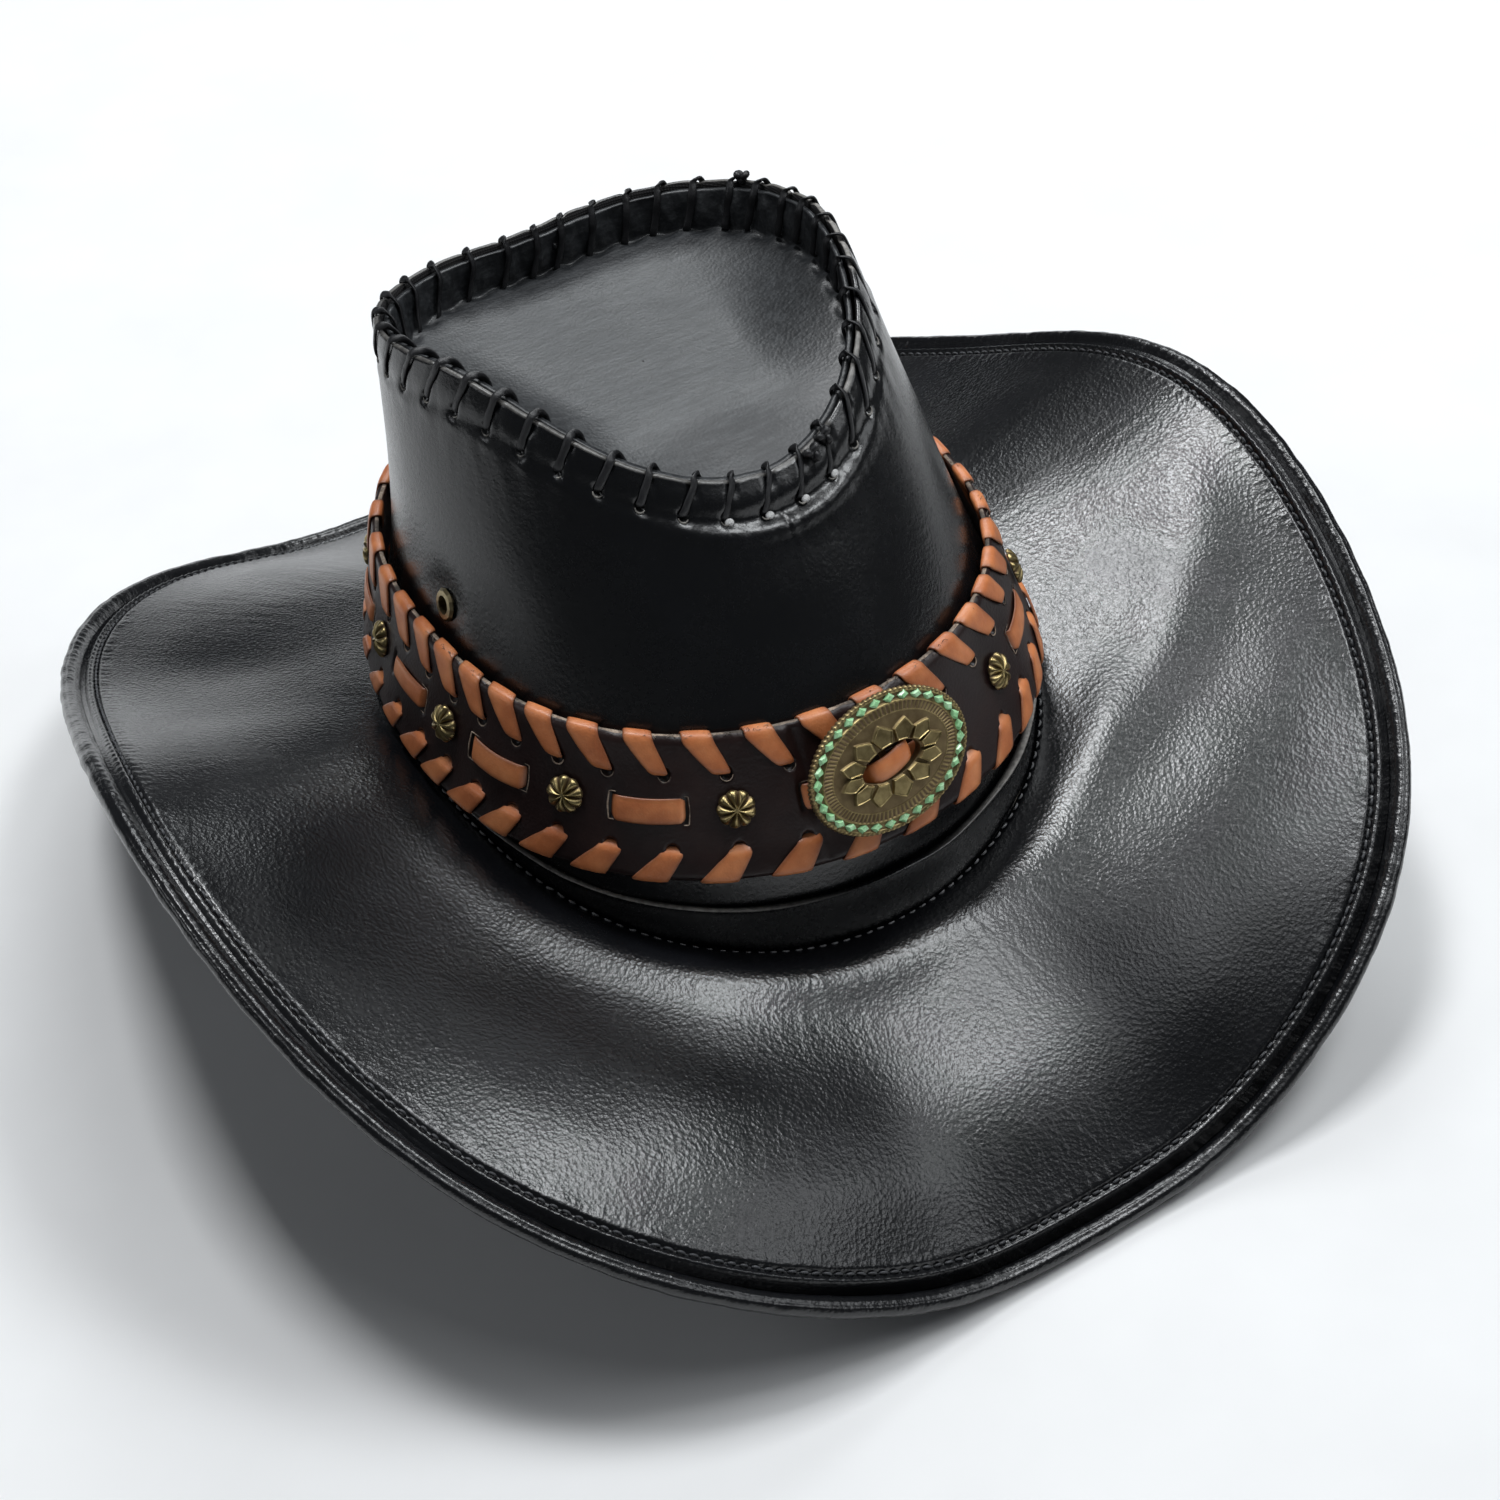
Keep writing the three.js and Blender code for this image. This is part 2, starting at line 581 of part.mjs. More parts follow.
// Lace that comes out of the slot, bends over the crossbar and goes back in.
function conchoLace() {
  const { width, thickness, halfSpan, rise } = CONCHO_LACE;
  const path = new THREE.CatmullRomCurve3([
    new THREE.Vector3(-halfSpan, 0, -2.4),
    new THREE.Vector3(-halfSpan + 0.7, 0, 0.6),
    new THREE.Vector3(0, 0, rise),
    new THREE.Vector3(halfSpan - 0.7, 0, 0.6),
    new THREE.Vector3(halfSpan, 0, -2.4),
  ]);
  const strip = new THREE.Shape();
  strip.moveTo(-width / 2, -thickness / 2);
  strip.lineTo(width / 2, -thickness / 2);
  strip.lineTo(width / 2, thickness / 2);
  strip.lineTo(-width / 2, thickness / 2);
  strip.closePath();
  const geometry = new THREE.ExtrudeGeometry(strip, { steps: 12, extrudePath: path, bevelEnabled: false });
  return part('concho_lace', closedBody(geometry), tanLace());
}

function bigConcho() {
  const group = new THREE.Group();
  group.add(conchoPlate(), conchoInlay(), conchoCrossbar(), conchoLace());
  const { centre, along, up, outward } = bandFrame(0);
  orient(group, along, up, outward);
  group.rotateZ(degrees(BIG_CONCHO.tilt));
  group.position.copy(centre);
  group.position.addScaledVector(outward, BIG_CONCHO.standoff).addScaledVector(up, BIG_CONCHO.rise);
  return group;
}

// ---- Assembly -----------------------------------------------------------------------------------

const hat = new THREE.Group();
hat.add(crownWall(), crownTopPanel(), crownLacing(), crownCollar(), sweatband());
for (const [side, label] of [[-1, 'right'], [1, 'left']]) {
  const ring = eyelet(side);
  ring.name = `eyelet_${label}`;
  const washer = eyeletWasher(side);
  washer.name = `eyelet_washer_${label}`;
  hat.add(ring, washer);
}
hat.add(...brimLayers(), brimEdgeWelt(), brimWire());

const band = new THREE.Group();
band.add(bandStrap(), edgeLace('band_top_lace', 1, -1), edgeLace('band_bottom_lace', 0, 1), bandCentreLace());
for (let index = 1; index < STATION_COUNT; index += 1) band.add(smallConcho(index));
band.add(bigConcho());

const assembly = new THREE.Group();
assembly.add(hat, band);

export default assembly;
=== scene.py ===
"""Western hat of black leather: laced crown, rolled and stitched brim, brown hat band with brass conchos.

The shapes are worked out in millimetres from the hat's driving dimensions and stored in metres.
Angles go round the crown: 0 at the front (-Y), 90 degrees at the wearer's left (+X), 180 at the back.
"""

import math

import bpy
import numpy as np
from mathutils import Matrix, Vector


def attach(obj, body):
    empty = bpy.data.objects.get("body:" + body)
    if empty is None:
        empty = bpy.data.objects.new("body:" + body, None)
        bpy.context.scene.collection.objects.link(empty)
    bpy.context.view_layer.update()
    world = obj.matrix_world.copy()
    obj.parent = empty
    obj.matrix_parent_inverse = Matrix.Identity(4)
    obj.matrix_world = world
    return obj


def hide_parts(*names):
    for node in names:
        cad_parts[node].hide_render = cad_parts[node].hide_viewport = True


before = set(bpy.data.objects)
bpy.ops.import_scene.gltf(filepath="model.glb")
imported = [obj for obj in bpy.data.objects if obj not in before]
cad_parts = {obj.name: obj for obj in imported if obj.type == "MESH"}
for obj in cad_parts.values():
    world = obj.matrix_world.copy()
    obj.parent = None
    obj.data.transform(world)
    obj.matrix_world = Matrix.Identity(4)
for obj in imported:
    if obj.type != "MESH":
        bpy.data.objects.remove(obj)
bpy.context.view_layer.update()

MM = 0.001
TAU = 2 * math.pi

# ---- Driving dimensions, mm ---------------------------------------------------------------------
# A list of seven numbers gives a closed outline, the same on both sides: its values every
# 30 degrees from the front (first) over the side (fourth) to the back (last).

FOOT_RADII = [97.5, 98.5, 93, 85.5, 87.5, 95.5, 100.5]
GIRDLE_RADII = [94.5, 94, 89.8, 84, 85.5, 92.4, 96.9]
WAIST_RADII = [78.6, 79, 77.5, 74.2, 79.2, 87.2, 90.6]
RIM_RADII = [60, 59, 57, 60, 69, 66, 57]
SEAM_HEIGHTS = [41.5, 49.5, 65, 73, 65.5, 50, 42]
GIRDLE_HEIGHTS = [75, 76, 78, 81, 78, 75, 74]
WAIST_HEIGHT = 109
RIM_HEIGHTS = [156, 163, 175, 179.5, 173.5, 168.5, 167.5]
RIM_SHIFT = 16.5
FOOT_BELOW_SEAM = 3.5
WALL = 2.0
COLLAR_TOPS = [59, 63, 70, 75.5, 70, 63, 59]
EDGE_RADII = [187.3, 199, 187, 169.7, 175, 194.5, 187.3]
EDGE_HEIGHTS = [-2, 33.5, 77.5, 99, 63.5, 27.5, -1.5]
EDGE_REST_HEIGHT = 2.2
EDGE_BEND = 3.0
INNER_SLOPES = [-4, 4, 6, 12, -6, -10, -16]
OUTER_SLOPES = [-35, -21, 9, 24, 8, -16, -26]
BRIM_THICKNESS = 4.0
BRIM_SHEET = 1.2
ROLL_RADIUS = 2.7
ROLL_INSET = 3.3            # the brim's sheets end this far inside its edge
BAND_BOTTOM_RADII = [100.5, 99.8, 95.3, 89, 90.5, 97.5, 102]
BAND_TOP_RADII = [83.5, 83.8, 82.3, 79, 84, 92, 95.5]
BAND_BOTTOM_HEIGHTS = [74, 74.7, 76, 77, 76, 74.7, 74]
BAND_HEIGHT = 34
BAND_MIDDLE = BAND_HEIGHT / 2
STRAP = 2.0
STRAP_RADIUS = 92           # mean radius, for patterns that run along the strap
STATION_COUNT = 13
PITCH = TAU / STATION_COUNT
STATION_SHIFT = 0.05        # small conchos and stitches sit this much further round
EYELET_SHARE = 0.715
PANEL_CENTRE_HEIGHT = 156
PANEL_THICKNESS = 1.4
FLANGE_FOOT = 0.94          # share of the crown where the panel turns up
FLANGE_TOP = 0.992
FLANGE_LEAN = 3.5
LAYER_GAP = 0.35            # between the wall and what is sewn inside it
SWEATBAND_TOP = 0.33


# ---- Outlines and surfaces ----------------------------------------------------------------------

def outline(values):
    """Smooth closed outline through values at equal steps from the front to the back."""
    last = len(values) - 1
    steps = np.arange(last + 1)
    ends = np.where((steps == 0) | (steps == last), 0.5, 1.0)
    weights = [
        (1 if k in (0, last) else 2) / last * np.sum(ends * values * np.cos(k * steps * math.pi / last))
        for k in steps
    ]
    return lambda angle: sum(w * np.cos(k * np.asarray(angle, float)) for k, w in enumerate(weights))


def points_at(x, y, z):
    return np.stack(np.broadcast_arrays(x, y, z), -1).astype(float)


def around(angle, radius, height, shift=0.0):
    """Points at an angle, a radius and a height, round an axis that lies `shift` towards the back."""
    return points_at(radius * np.sin(angle), shift - radius * np.cos(angle), height)


foot_radius, girdle_radius = outline(FOOT_RADII), outline(GIRDLE_RADII)
waist_radius, rim_radius = outline(WAIST_RADII), outline(RIM_RADII)
seam_height, girdle_height = outline(SEAM_HEIGHTS), outline(GIRDLE_HEIGHTS)
rim_height = outline(RIM_HEIGHTS)
collar_top = outline(COLLAR_TOPS)
edge_radius, free_edge_height = outline(EDGE_RADII), outline(EDGE_HEIGHTS)
inner_slope, outer_slope = outline(INNER_SLOPES), outline(OUTER_SLOPES)
band_bottom_radius, band_top_radius = outline(BAND_BOTTOM_RADII), outline(BAND_TOP_RADII)
band_bottom_height = outline(BAND_BOTTOM_HEIGHTS)


def span(a, b, c, d, w):
    """Centripetal Catmull-Rom curve between b and c."""
    ab, bc, cd = (np.sqrt(np.linalg.norm(q - p, axis=-1, keepdims=True))
                  for p, q in ((a, b), (b, c), (c, d)))
    start = ((b - a) / ab - (c - a) / (ab + bc) + (c - b) / bc) * bc
    end = ((c - b) / bc - (d - b) / (bc + cd) + (d - c) / cd) * bc
    return b + start * w + (3 * (c - b) - 2 * start - end) * w**2 + (2 * (b - c) + start + end) * w**3


def crown_point(angle, share, inset=0.0):
    """Points on the crown's wall: share 0 at the foot to 1 at the top edge, moved in by inset."""
    angle, share = np.broadcast_arrays(np.asarray(angle, float), np.asarray(share, float))
    foot = around(angle, foot_radius(angle) - inset, seam_height(angle) - FOOT_BELOW_SEAM)
    girdle = around(angle, girdle_radius(angle) - inset, girdle_height(angle))
    waist = around(angle, waist_radius(angle) - inset, WAIST_HEIGHT)
    rim = around(angle, rim_radius(angle) - inset, rim_height(angle), RIM_SHIFT)
    along = np.clip(3 * share, 0, 3)[..., None]
    low = span(2 * foot - girdle, foot, girdle, waist, along)
    middle = span(foot, girdle, waist, rim, along - 1)
    high = span(girdle, waist, rim, 2 * rim - waist, along - 2)
    return np.where(along < 1, low, np.where(along < 2, middle, high))


def edge_height(angle):
    """Height of the brim's edge; it comes down to its rest in a soft bend."""
    over = free_edge_height(angle) - EDGE_REST_HEIGHT
    return EDGE_REST_HEIGHT + EDGE_BEND * np.logaddexp(0, over / EDGE_BEND)


def brim_ends(angle):
    return foot_radius(angle) + 0.45, edge_radius(angle) - ROLL_INSET


def brim_point(angle, reach, below=0.0):
    """Points in the brim: reach 0 at the crown to 1 beside the roll, `below` under its top face."""
    start, end = brim_ends(angle)
    length = end - start
    start_height = seam_height(angle) - BRIM_THICKNESS / 2
    middle = (
        start_height * (2 * reach**3 - 3 * reach**2 + 1)
        + edge_height(angle) * (3 * reach**2 - 2 * reach**3)
        + length * np.tan(np.radians(inner_slope(angle))) * (reach**3 - 2 * reach**2 + reach)
        + length * np.tan(np.radians(outer_slope(angle))) * (reach**3 - reach**2)
    )
    return around(angle, start + length * reach, middle + BRIM_THICKNESS / 2 - below)


def band_point(angle, share, out=0.0, rise=0.0):
    """Points on the strap's outer face: share 0 at its lower edge to 1 at its upper edge."""
    bottom, top = band_bottom_radius(angle), band_top_radius(angle)
    height = band_bottom_height(angle) + BAND_HEIGHT * share + rise
    return around(angle, bottom + (top - bottom) * share + out, height)


def unit(vectors):
    return vectors / np.maximum(np.linalg.norm(vectors, axis=-1, keepdims=True), 1e-9)


def directions(surface, angle, share, step=0.004):
    """Along, up and outward directions of a surface at given angles and shares."""
    along = unit(surface(angle + step, share) - surface(angle - step, share))
    up = unit(surface(angle, share + step) - surface(angle, share - step))
    outward = unit(np.cross(along, up))
    return along, np.cross(outward, along), outward


def even_angles(line, count, start=0.0):
    """Angles that divide the closed line(angle) into `count` equal lengths."""
    angles = np.linspace(0, TAU, 1441)
    points = line(angles)
    lengths = np.concatenate([[0], np.cumsum(np.linalg.norm(np.diff(points, axis=0), axis=1))])
    wanted = (np.arange(count) / count + start / count) * lengths[-1]
    return np.interp(wanted % lengths[-1], lengths, angles)


def band_frame(angle):
    along, _, _ = directions(band_point, angle, 0.5, 0.01)
    up = unit(band_point(angle, 1) - band_point(angle, 0))
    outward = unit(np.cross(along, up))
    return band_point(angle, 0.5), along, np.cross(outward, along), outward


# ---- Smooth noise and profiles ------------------------------------------------------------------

def lattice(cells, seed):
    """A fixed number from -1 to 1 for each whole-numbered cell."""
    x, y, z = (cells[..., i].astype(np.int64) for i in range(3))
    h = (x * 73856093) ^ (y * 19349663) ^ (z * 83492791) ^ (seed * 2654435761)
    h = (h ^ (h >> 13)) * 1274126177 & 0xFFFFFFFF
    h = h ^ (h >> 16)
    return (h & 0xFFFF) / 32767.5 - 1


def noise(points, size, seed=0):
    """Smooth noise from -1 to 1 with lumps of about `size` mm (one size or one for each axis)."""
    scaled = np.asarray(points, float) / np.asarray(size, float)
    cell = np.floor(scaled)
    part = scaled - cell
    part = part * part * part * (part * (part * 6 - 15) + 10)
    total = 0
    for corner in np.ndindex(2, 2, 2):
        weight = np.prod(np.where(np.array(corner) == 1, part, 1 - part), axis=-1)
        total = total + weight * lattice(cell + corner, seed)
    return total


def layers(points, size, seed=0, count=3):
    size = np.asarray(size, float)
    return sum(noise(points, size / 2**k, seed + k) / 2**k for k in range(count))


def bell(x, centre, width):
    return np.exp(-(((x - centre) / width) ** 2))


def step_up(x, low, high):
    t = np.clip((x - low) / (high - low), 0, 1)
    return t * t * (3 - 2 * t)


def turn_from(angle, centre):
    """Signed difference of angles, from -pi to pi."""
    return (angle - centre + math.pi) % TAU - math.pi


# ---- Meshes -------------------------------------------------------------------------------------

def new_piece(name, vertices, faces_of, materials, face_material=None, masks=None, smooth=True):
    """A mesh object from points in mm. faces_of is a list of equal-sided face arrays."""
    mesh = bpy.data.meshes.new(name)
    vertices = np.asarray(vertices, float).reshape(-1, 3) * MM
    faces_of = [np.asarray(f) for f in faces_of if len(f)]
    corners = np.concatenate([f.ravel() for f in faces_of])
    sides = np.concatenate([np.full(len(f), f.shape[1]) for f in faces_of])
    starts = np.concatenate([[0], np.cumsum(sides)[:-1]])
    mesh.vertices.add(len(vertices))
    mesh.vertices.foreach_set("co", vertices.astype(np.float32).ravel())
    mesh.loops.add(len(corners))
    mesh.loops.foreach_set("vertex_index", corners.astype(np.int32))
    mesh.polygons.add(len(sides))
    mesh.polygons.foreach_set("loop_start", starts.astype(np.int32))
    mesh.polygons.foreach_set("use_smooth", np.full(len(sides), smooth))
    for material in materials:
        mesh.materials.append(material)
    if face_material is not None:
        mesh.polygons.foreach_set("material_index", np.asarray(face_material, np.int32).ravel())
    for mask, values in (masks or {}).items():
        layer = mesh.attributes.new(mask, "FLOAT", "POINT")
        values = np.broadcast_to(values, (len(vertices),)) if np.ndim(values) == 0 else np.ravel(values)
        layer.data.foreach_set("value", values.astype(np.float32))
    mesh.update(calc_edges=True)
    mesh.validate()
    piece = bpy.data.objects.new(name, mesh)
    bpy.context.scene.collection.objects.link(piece)
    return piece


def grid_faces(rows, columns, wrap_rows=False, offset=0):
    """Quads of a grid of points whose rows are closed; their outside is right of the rows' direction."""
    index = np.arange(rows * columns).reshape(rows, columns) + offset
    if wrap_rows:
        index = np.vstack([index, index[:1]])
    index = np.hstack([index, index[:, :1]])
    a, b, c, d = index[:-1, :-1], index[:-1, 1:], index[1:, 1:], index[1:, :-1]
    return np.stack([a, b, c, d], -1).reshape(-1, 4)


def sheet_piece(name, points, materials, wrap_rows=True, row_material=None, raw=0.0, hole=0.0):
    """A piece from a grid of points (rows, columns, 3). row_material gives each row of faces a material;
    raw and hole are masks that its leather reads."""
    # the hole mask is painted shade: the leather reads it to turn near-black in holes
    rows, columns = points.shape[:2]
    which = None if row_material is None else np.repeat(row_material, columns)
    faces = grid_faces(rows, columns, wrap_rows)
    return new_piece(name, points, [faces], materials, which, {"raw": raw, "hole": hole})


def outward_of(points):
    """Outward directions of a grid of points whose rows go up."""
    return unit(np.cross(np.roll(points, -1, 1) - np.roll(points, 1, 1), np.gradient(points, axis=0)))


def tube_faces(count, steps, sides, reverse=True):
    """Faces of `count` tubes of points, each (steps, sides), and a cap at both of their ends."""
    ring = np.arange(sides)
    quads, caps = [], []
    for first in np.arange(count) * steps * sides:
        quads.append(grid_faces(steps, sides, offset=first))
        caps += [first + ring[::-1], first + (steps - 1) * sides + ring]
    faces = [np.concatenate(quads), np.array(caps)]
    return [sides_of[:, ::-1] for sides_of in faces] if reverse else faces


def strand_piece(name, paths, normals, widths, heights, material, sides):
    """Many round strands in one mesh. paths and normals are (strands, steps, 3); widths and heights are
    half sizes, (strands, steps) or alike."""
    paths = np.asarray(paths, float)
    count, steps = paths.shape[:2]
    section = circle_section(sides)
    forward = unit(np.gradient(paths, axis=1))
    across = unit(np.cross(forward, np.broadcast_to(normals, paths.shape)))
    up = np.cross(across, forward)
    wide = np.broadcast_to(widths, (count, steps))[..., None, None]
    high = np.broadcast_to(heights, (count, steps))[..., None, None]
    points = (
        paths[:, :, None]
        + across[:, :, None] * section[None, None, :, :1] * wide
        + up[:, :, None] * section[None, None, :, 1:] * high
    )
    return new_piece(name, points, tube_faces(count, steps, sides), [material])


def circle_section(sides):
    turn = np.arange(sides) * TAU / sides
    return np.stack([np.cos(turn), np.sin(turn)], -1)


def flat_section(sides=16, squareness=0.45):
    """A rounded rectangle as a loop from -1 to 1."""
    loop = circle_section(sides)
    return np.sign(loop) * np.abs(loop) ** squareness


def through(values, count):
    """Smooth curve through rows of values, as `count` rows."""
    values = np.asarray(values, float)
    ends = np.vstack([2 * values[0] - values[1], values, 2 * values[-1] - values[-2]])
    place = np.linspace(0, len(values) - 1, count)
    i = np.minimum(place.astype(int), len(values) - 2)
    w = (place - i)[:, None]
    a, b, c, d = ends[i], ends[i + 1], ends[i + 2], ends[i + 3]
    return b + 0.5 * w * (c - a + w * (2 * a - 5 * b + 4 * c - d + w * (3 * (b - c) + d - a)))


def placed(piece, body, slot, *nodes):
    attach(piece, body)
    if nodes:
        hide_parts(*nodes)
    return piece


# ---- Materials ----------------------------------------------------------------------------------

class Look:
    """A procedural material: its nodes are added one by one and linked to a Principled shader."""

    def __init__(self, name, **fixed):
        self.material = bpy.data.materials.new(name)
        self.material.use_nodes = True
        self.tree = self.material.node_tree
        self.shader = self.tree.nodes["Principled BSDF"]
        for socket, value in fixed.items():
            self.shader.inputs[socket.replace("_", " ")].default_value = value
        self.place = self.add("ShaderNodeTexCoord").outputs["Object"]

    def add(self, kind, inputs=None, **settings):
        node = self.tree.nodes.new(kind)
        for key, value in settings.items():
            setattr(node, key, value)
        for key, value in (inputs or {}).items():
            self.feed(node.inputs[key], value)
        return node

    def feed(self, socket, value):
        if isinstance(value, bpy.types.NodeSocket):
            self.tree.links.new(value, socket)
        else:
            socket.default_value = value

    def set(self, socket, value):
        self.feed(self.shader.inputs[socket], value)

    def noise(self, size, detail=3.0, rough=0.55, stretch=None):
        """Noise with lumps of about `size` mm, as a number from 0 to 1."""
        place = self.place
        if stretch:
            place = self.add("ShaderNodeMapping", {"Vector": place, "Scale": stretch}).outputs["Vector"]
        values = {"Vector": place, "Scale": 1 / (size * MM), "Detail": detail, "Roughness": rough}
        return self.add("ShaderNodeTexNoise", values).outputs["Fac"]

    def cells(self, size, warp):
        """Distance to the middle of cells of about `size` mm, bent by up to `warp` mm."""
        values = {"Vector": self.place, "Scale": 1 / (size * 2 * MM), "Detail": 1.0}
        shift = self.add("ShaderNodeTexNoise", values).outputs["Color"]
        scaled = self.add("ShaderNodeVectorMath", {0: shift, 1: (warp * MM,) * 3}, operation="MULTIPLY")
        bent = self.add("ShaderNodeVectorMath", {0: self.place, 1: scaled.outputs["Vector"]},
                        operation="ADD")
        values = {"Vector": bent.outputs["Vector"], "Scale": 1 / (size * MM)}
        return self.add("ShaderNodeTexVoronoi", values).outputs["Distance"]

    def mask(self, name):
        return self.add("ShaderNodeAttribute", attribute_name=name).outputs["Fac"]

    def ramp(self, value, *stops):
        """Colours or greys at places from 0 to 1."""
        node = self.add("ShaderNodeValToRGB", {"Fac": value})
        elements = node.color_ramp.elements
        while len(elements) < len(stops):
            elements.new(0.5)
        for element, (place, colour) in zip(elements, stops):
            element.position = place
            element.color = (*colour, 1) if hasattr(colour, "__len__") else (colour, colour, colour, 1)
        return node.outputs["Color"]

    def mix(self, share, a, b):
        node = self.add("ShaderNodeMix", data_type="RGBA")
        for key, value in ((0, share), (6, a), (7, b)):
            if hasattr(value, "__len__") and not isinstance(value, bpy.types.NodeSocket):
                value = (*value, 1) if len(value) == 3 else value
            self.feed(node.inputs[key], value)
        return node.outputs[2]

    def math(self, how, a, b, c=0.0, clamp=False):
        return self.add("ShaderNodeMath", {0: a, 1: b, 2: c}, operation=how, use_clamp=clamp).outputs[0]

    def bumps(self, *steps):
        """Stacks bumps, each (height, depth in mm, strength)."""
        normal = None
        for height, depth, strength in steps:
            values = {"Height": height, "Distance": depth * MM, "Strength": strength}
            if normal is not None:
                values["Normal"] = normal
            normal = self.add("ShaderNodeBump", values).outputs["Normal"]
        self.feed(self.shader.inputs["Normal"], normal)


def black_leather(name, roughness, grain, tone, creases):
    """Smooth black leather: fine pebbled grain, faint creases, uneven polish and pale raw edges, with
    painted shade near-black in its holes.
    """
    look = Look(name, Specular_IOR_Level=0.55, Coat_Weight=0.12, Coat_Roughness=0.28)
    cloudy = look.noise(26, 4)
    fine = look.noise(1.4, 3)
    dark = tuple(c * 0.65 for c in tone)
    light = tuple(c * 1.7 for c in tone)
    colour = look.ramp(cloudy, (0.25, dark), (0.55, tone), (0.8, light))
    fibres = look.ramp(fine, (0.3, (0.16, 0.15, 0.14)), (0.7, (0.42, 0.40, 0.37)))
    colour = look.mix(look.mask("raw"), colour, fibres)
    # painted shade: where the hole mask is 1 the leather is painted near-black
    colour = look.mix(look.mask("hole"), colour, (0.002, 0.002, 0.002))
    look.set("Base Color", colour)
    polish = look.math("MULTIPLY_ADD", look.noise(34, 3), 0.16, roughness - 0.08)
    rough = look.math("ADD", polish, look.math("MULTIPLY", fine, 0.10))
    look.set("Roughness", look.math("ADD", rough, look.math("MULTIPLY", look.mask("raw"), 0.4), clamp=True))
    pebbles = look.cells(1.15, 0.5)
    fine_pebbles = look.cells(0.55, 0.3)
    crease = look.ramp(look.noise(5.5, 4, 0.6), (0.44, 1.0), (0.5, 0.0), (0.56, 1.0))
    look.bumps(
        (crease, 0.10, creases),
        (pebbles, 0.14 * grain, 0.55),
        (fine_pebbles, 0.06 * grain, 0.5),
        (look.noise(0.25, 2), 0.03, 0.5),
    )
    return look.material


def scratched_leather(name):
    """The top panel's leather: satin black, rubbed grey in fine streaks and specks."""
    look = Look(name, Specular_IOR_Level=0.55, Coat_Weight=0.08, Coat_Roughness=0.3)
    cloud = look.noise(22, 4)
    streaks = look.noise(1.6, 4, 0.7, (0.16, 1.0, 1.0))
    specks = look.noise(0.9, 3, 0.7)
    rubbed = look.math("MULTIPLY", look.ramp(streaks, (0.42, 0.0), (0.72, 1.0)),
                       look.ramp(specks, (0.35, 0.3), (0.7, 1.0)))
    colour = look.ramp(cloud, (0.25, (0.008, 0.009, 0.0105)), (0.75, (0.017, 0.0185, 0.021)))
    look.set("Base Color", look.mix(rubbed, colour, (0.060, 0.064, 0.068)))
    shine = look.math("ADD", look.math("MULTIPLY", cloud, 0.16), look.math("MULTIPLY", specks, 0.22))
    look.set("Roughness", look.math("ADD", shine, 0.24, clamp=True))
    look.bumps(
        (streaks, 0.16, 0.5),
        (look.cells(1.0, 0.5), 0.12, 0.55),
        (look.noise(0.3, 2), 0.03, 0.5),
    )
    return look.material


def lining(name):
    """Woven backing on the inside of the leather."""
    look = Look(name, Specular_IOR_Level=0.25)
    weave = look.add("ShaderNodeTexWave",
                     {"Vector": look.place, "Scale": 420.0, "Distortion": 1.2, "Detail": 2.0})
    cross = look.add("ShaderNodeTexWave", {"Vector": look.place, "Scale": 420.0, "Distortion": 1.2},
                     bands_direction="Z")
    thread = look.math("MULTIPLY", weave.outputs["Fac"], cross.outputs["Fac"])
    cloud = look.noise(18, 3)
    colour = look.mix(thread, (0.010, 0.010, 0.011), (0.030, 0.029, 0.030))
    faded = look.ramp(cloud, (0.35, 0.0), (0.7, 0.5))
    look.set("Base Color", look.mix(faded, colour, (0.045, 0.042, 0.040)))
    look.set("Roughness", look.ramp(cloud, (0.3, 0.82), (0.7, 0.95)))
    look.bumps((thread, 0.25, 0.6), (look.noise(0.6, 3), 0.12, 0.5))
    return look.material


def raw_edge(name, dark=(0.13, 0.12, 0.11), light=(0.46, 0.44, 0.40)):
    """Cut edge of leather: pale fibres with dark scorched spots."""
    look = Look(name, Specular_IOR_Level=0.3)
    fibre = look.noise(0.9, 4, 0.7)
    patches = look.noise(7, 3)
    colour = look.ramp(fibre, (0.28, dark), (0.62, light))
    scorched = look.ramp(patches, (0.42, 0.0), (0.62, 0.85))
    look.set("Base Color", look.mix(scorched, colour, (0.03, 0.028, 0.027)))
    look.set("Roughness", look.ramp(fibre, (0.3, 0.9), (0.7, 0.65)))
    look.bumps((fibre, 0.2, 0.8), (look.noise(0.3, 2), 0.08, 0.6))
    return look.material


def strap_leather(name):
    """Dark brown, nearly black strap leather with a soft shine and painted shade near-black in its holes."""
    look = Look(name, Specular_IOR_Level=0.38, Coat_Weight=0.06, Coat_Roughness=0.3)
    cloud = look.noise(14, 4)
    fine = look.noise(1.0, 3)
    colour = look.ramp(cloud, (0.25, (0.0085, 0.0036, 0.0034)), (0.55, (0.0165, 0.0068, 0.0060)),
                       (0.8, (0.028, 0.0118, 0.0095)))
    fibres = look.ramp(fine, (0.3, (0.20, 0.13, 0.09)), (0.7, (0.50, 0.40, 0.31)))
    colour = look.mix(look.mask("raw"), colour, fibres)
    # painted shade: the strap's lace holes and slots are painted near-black
    colour = look.mix(look.mask("hole"), colour, (0.002, 0.0015, 0.001))
    look.set("Base Color", colour)
    look.set("Roughness", look.math("ADD", look.math("MULTIPLY", cloud, 0.2), 0.30))
    look.bumps(
        (look.noise(6, 4, 0.6), 0.25, 0.35),
        (look.cells(0.8, 0.4), 0.10, 0.5),
        (look.noise(0.3, 2), 0.03, 0.5),
    )
    return look.material


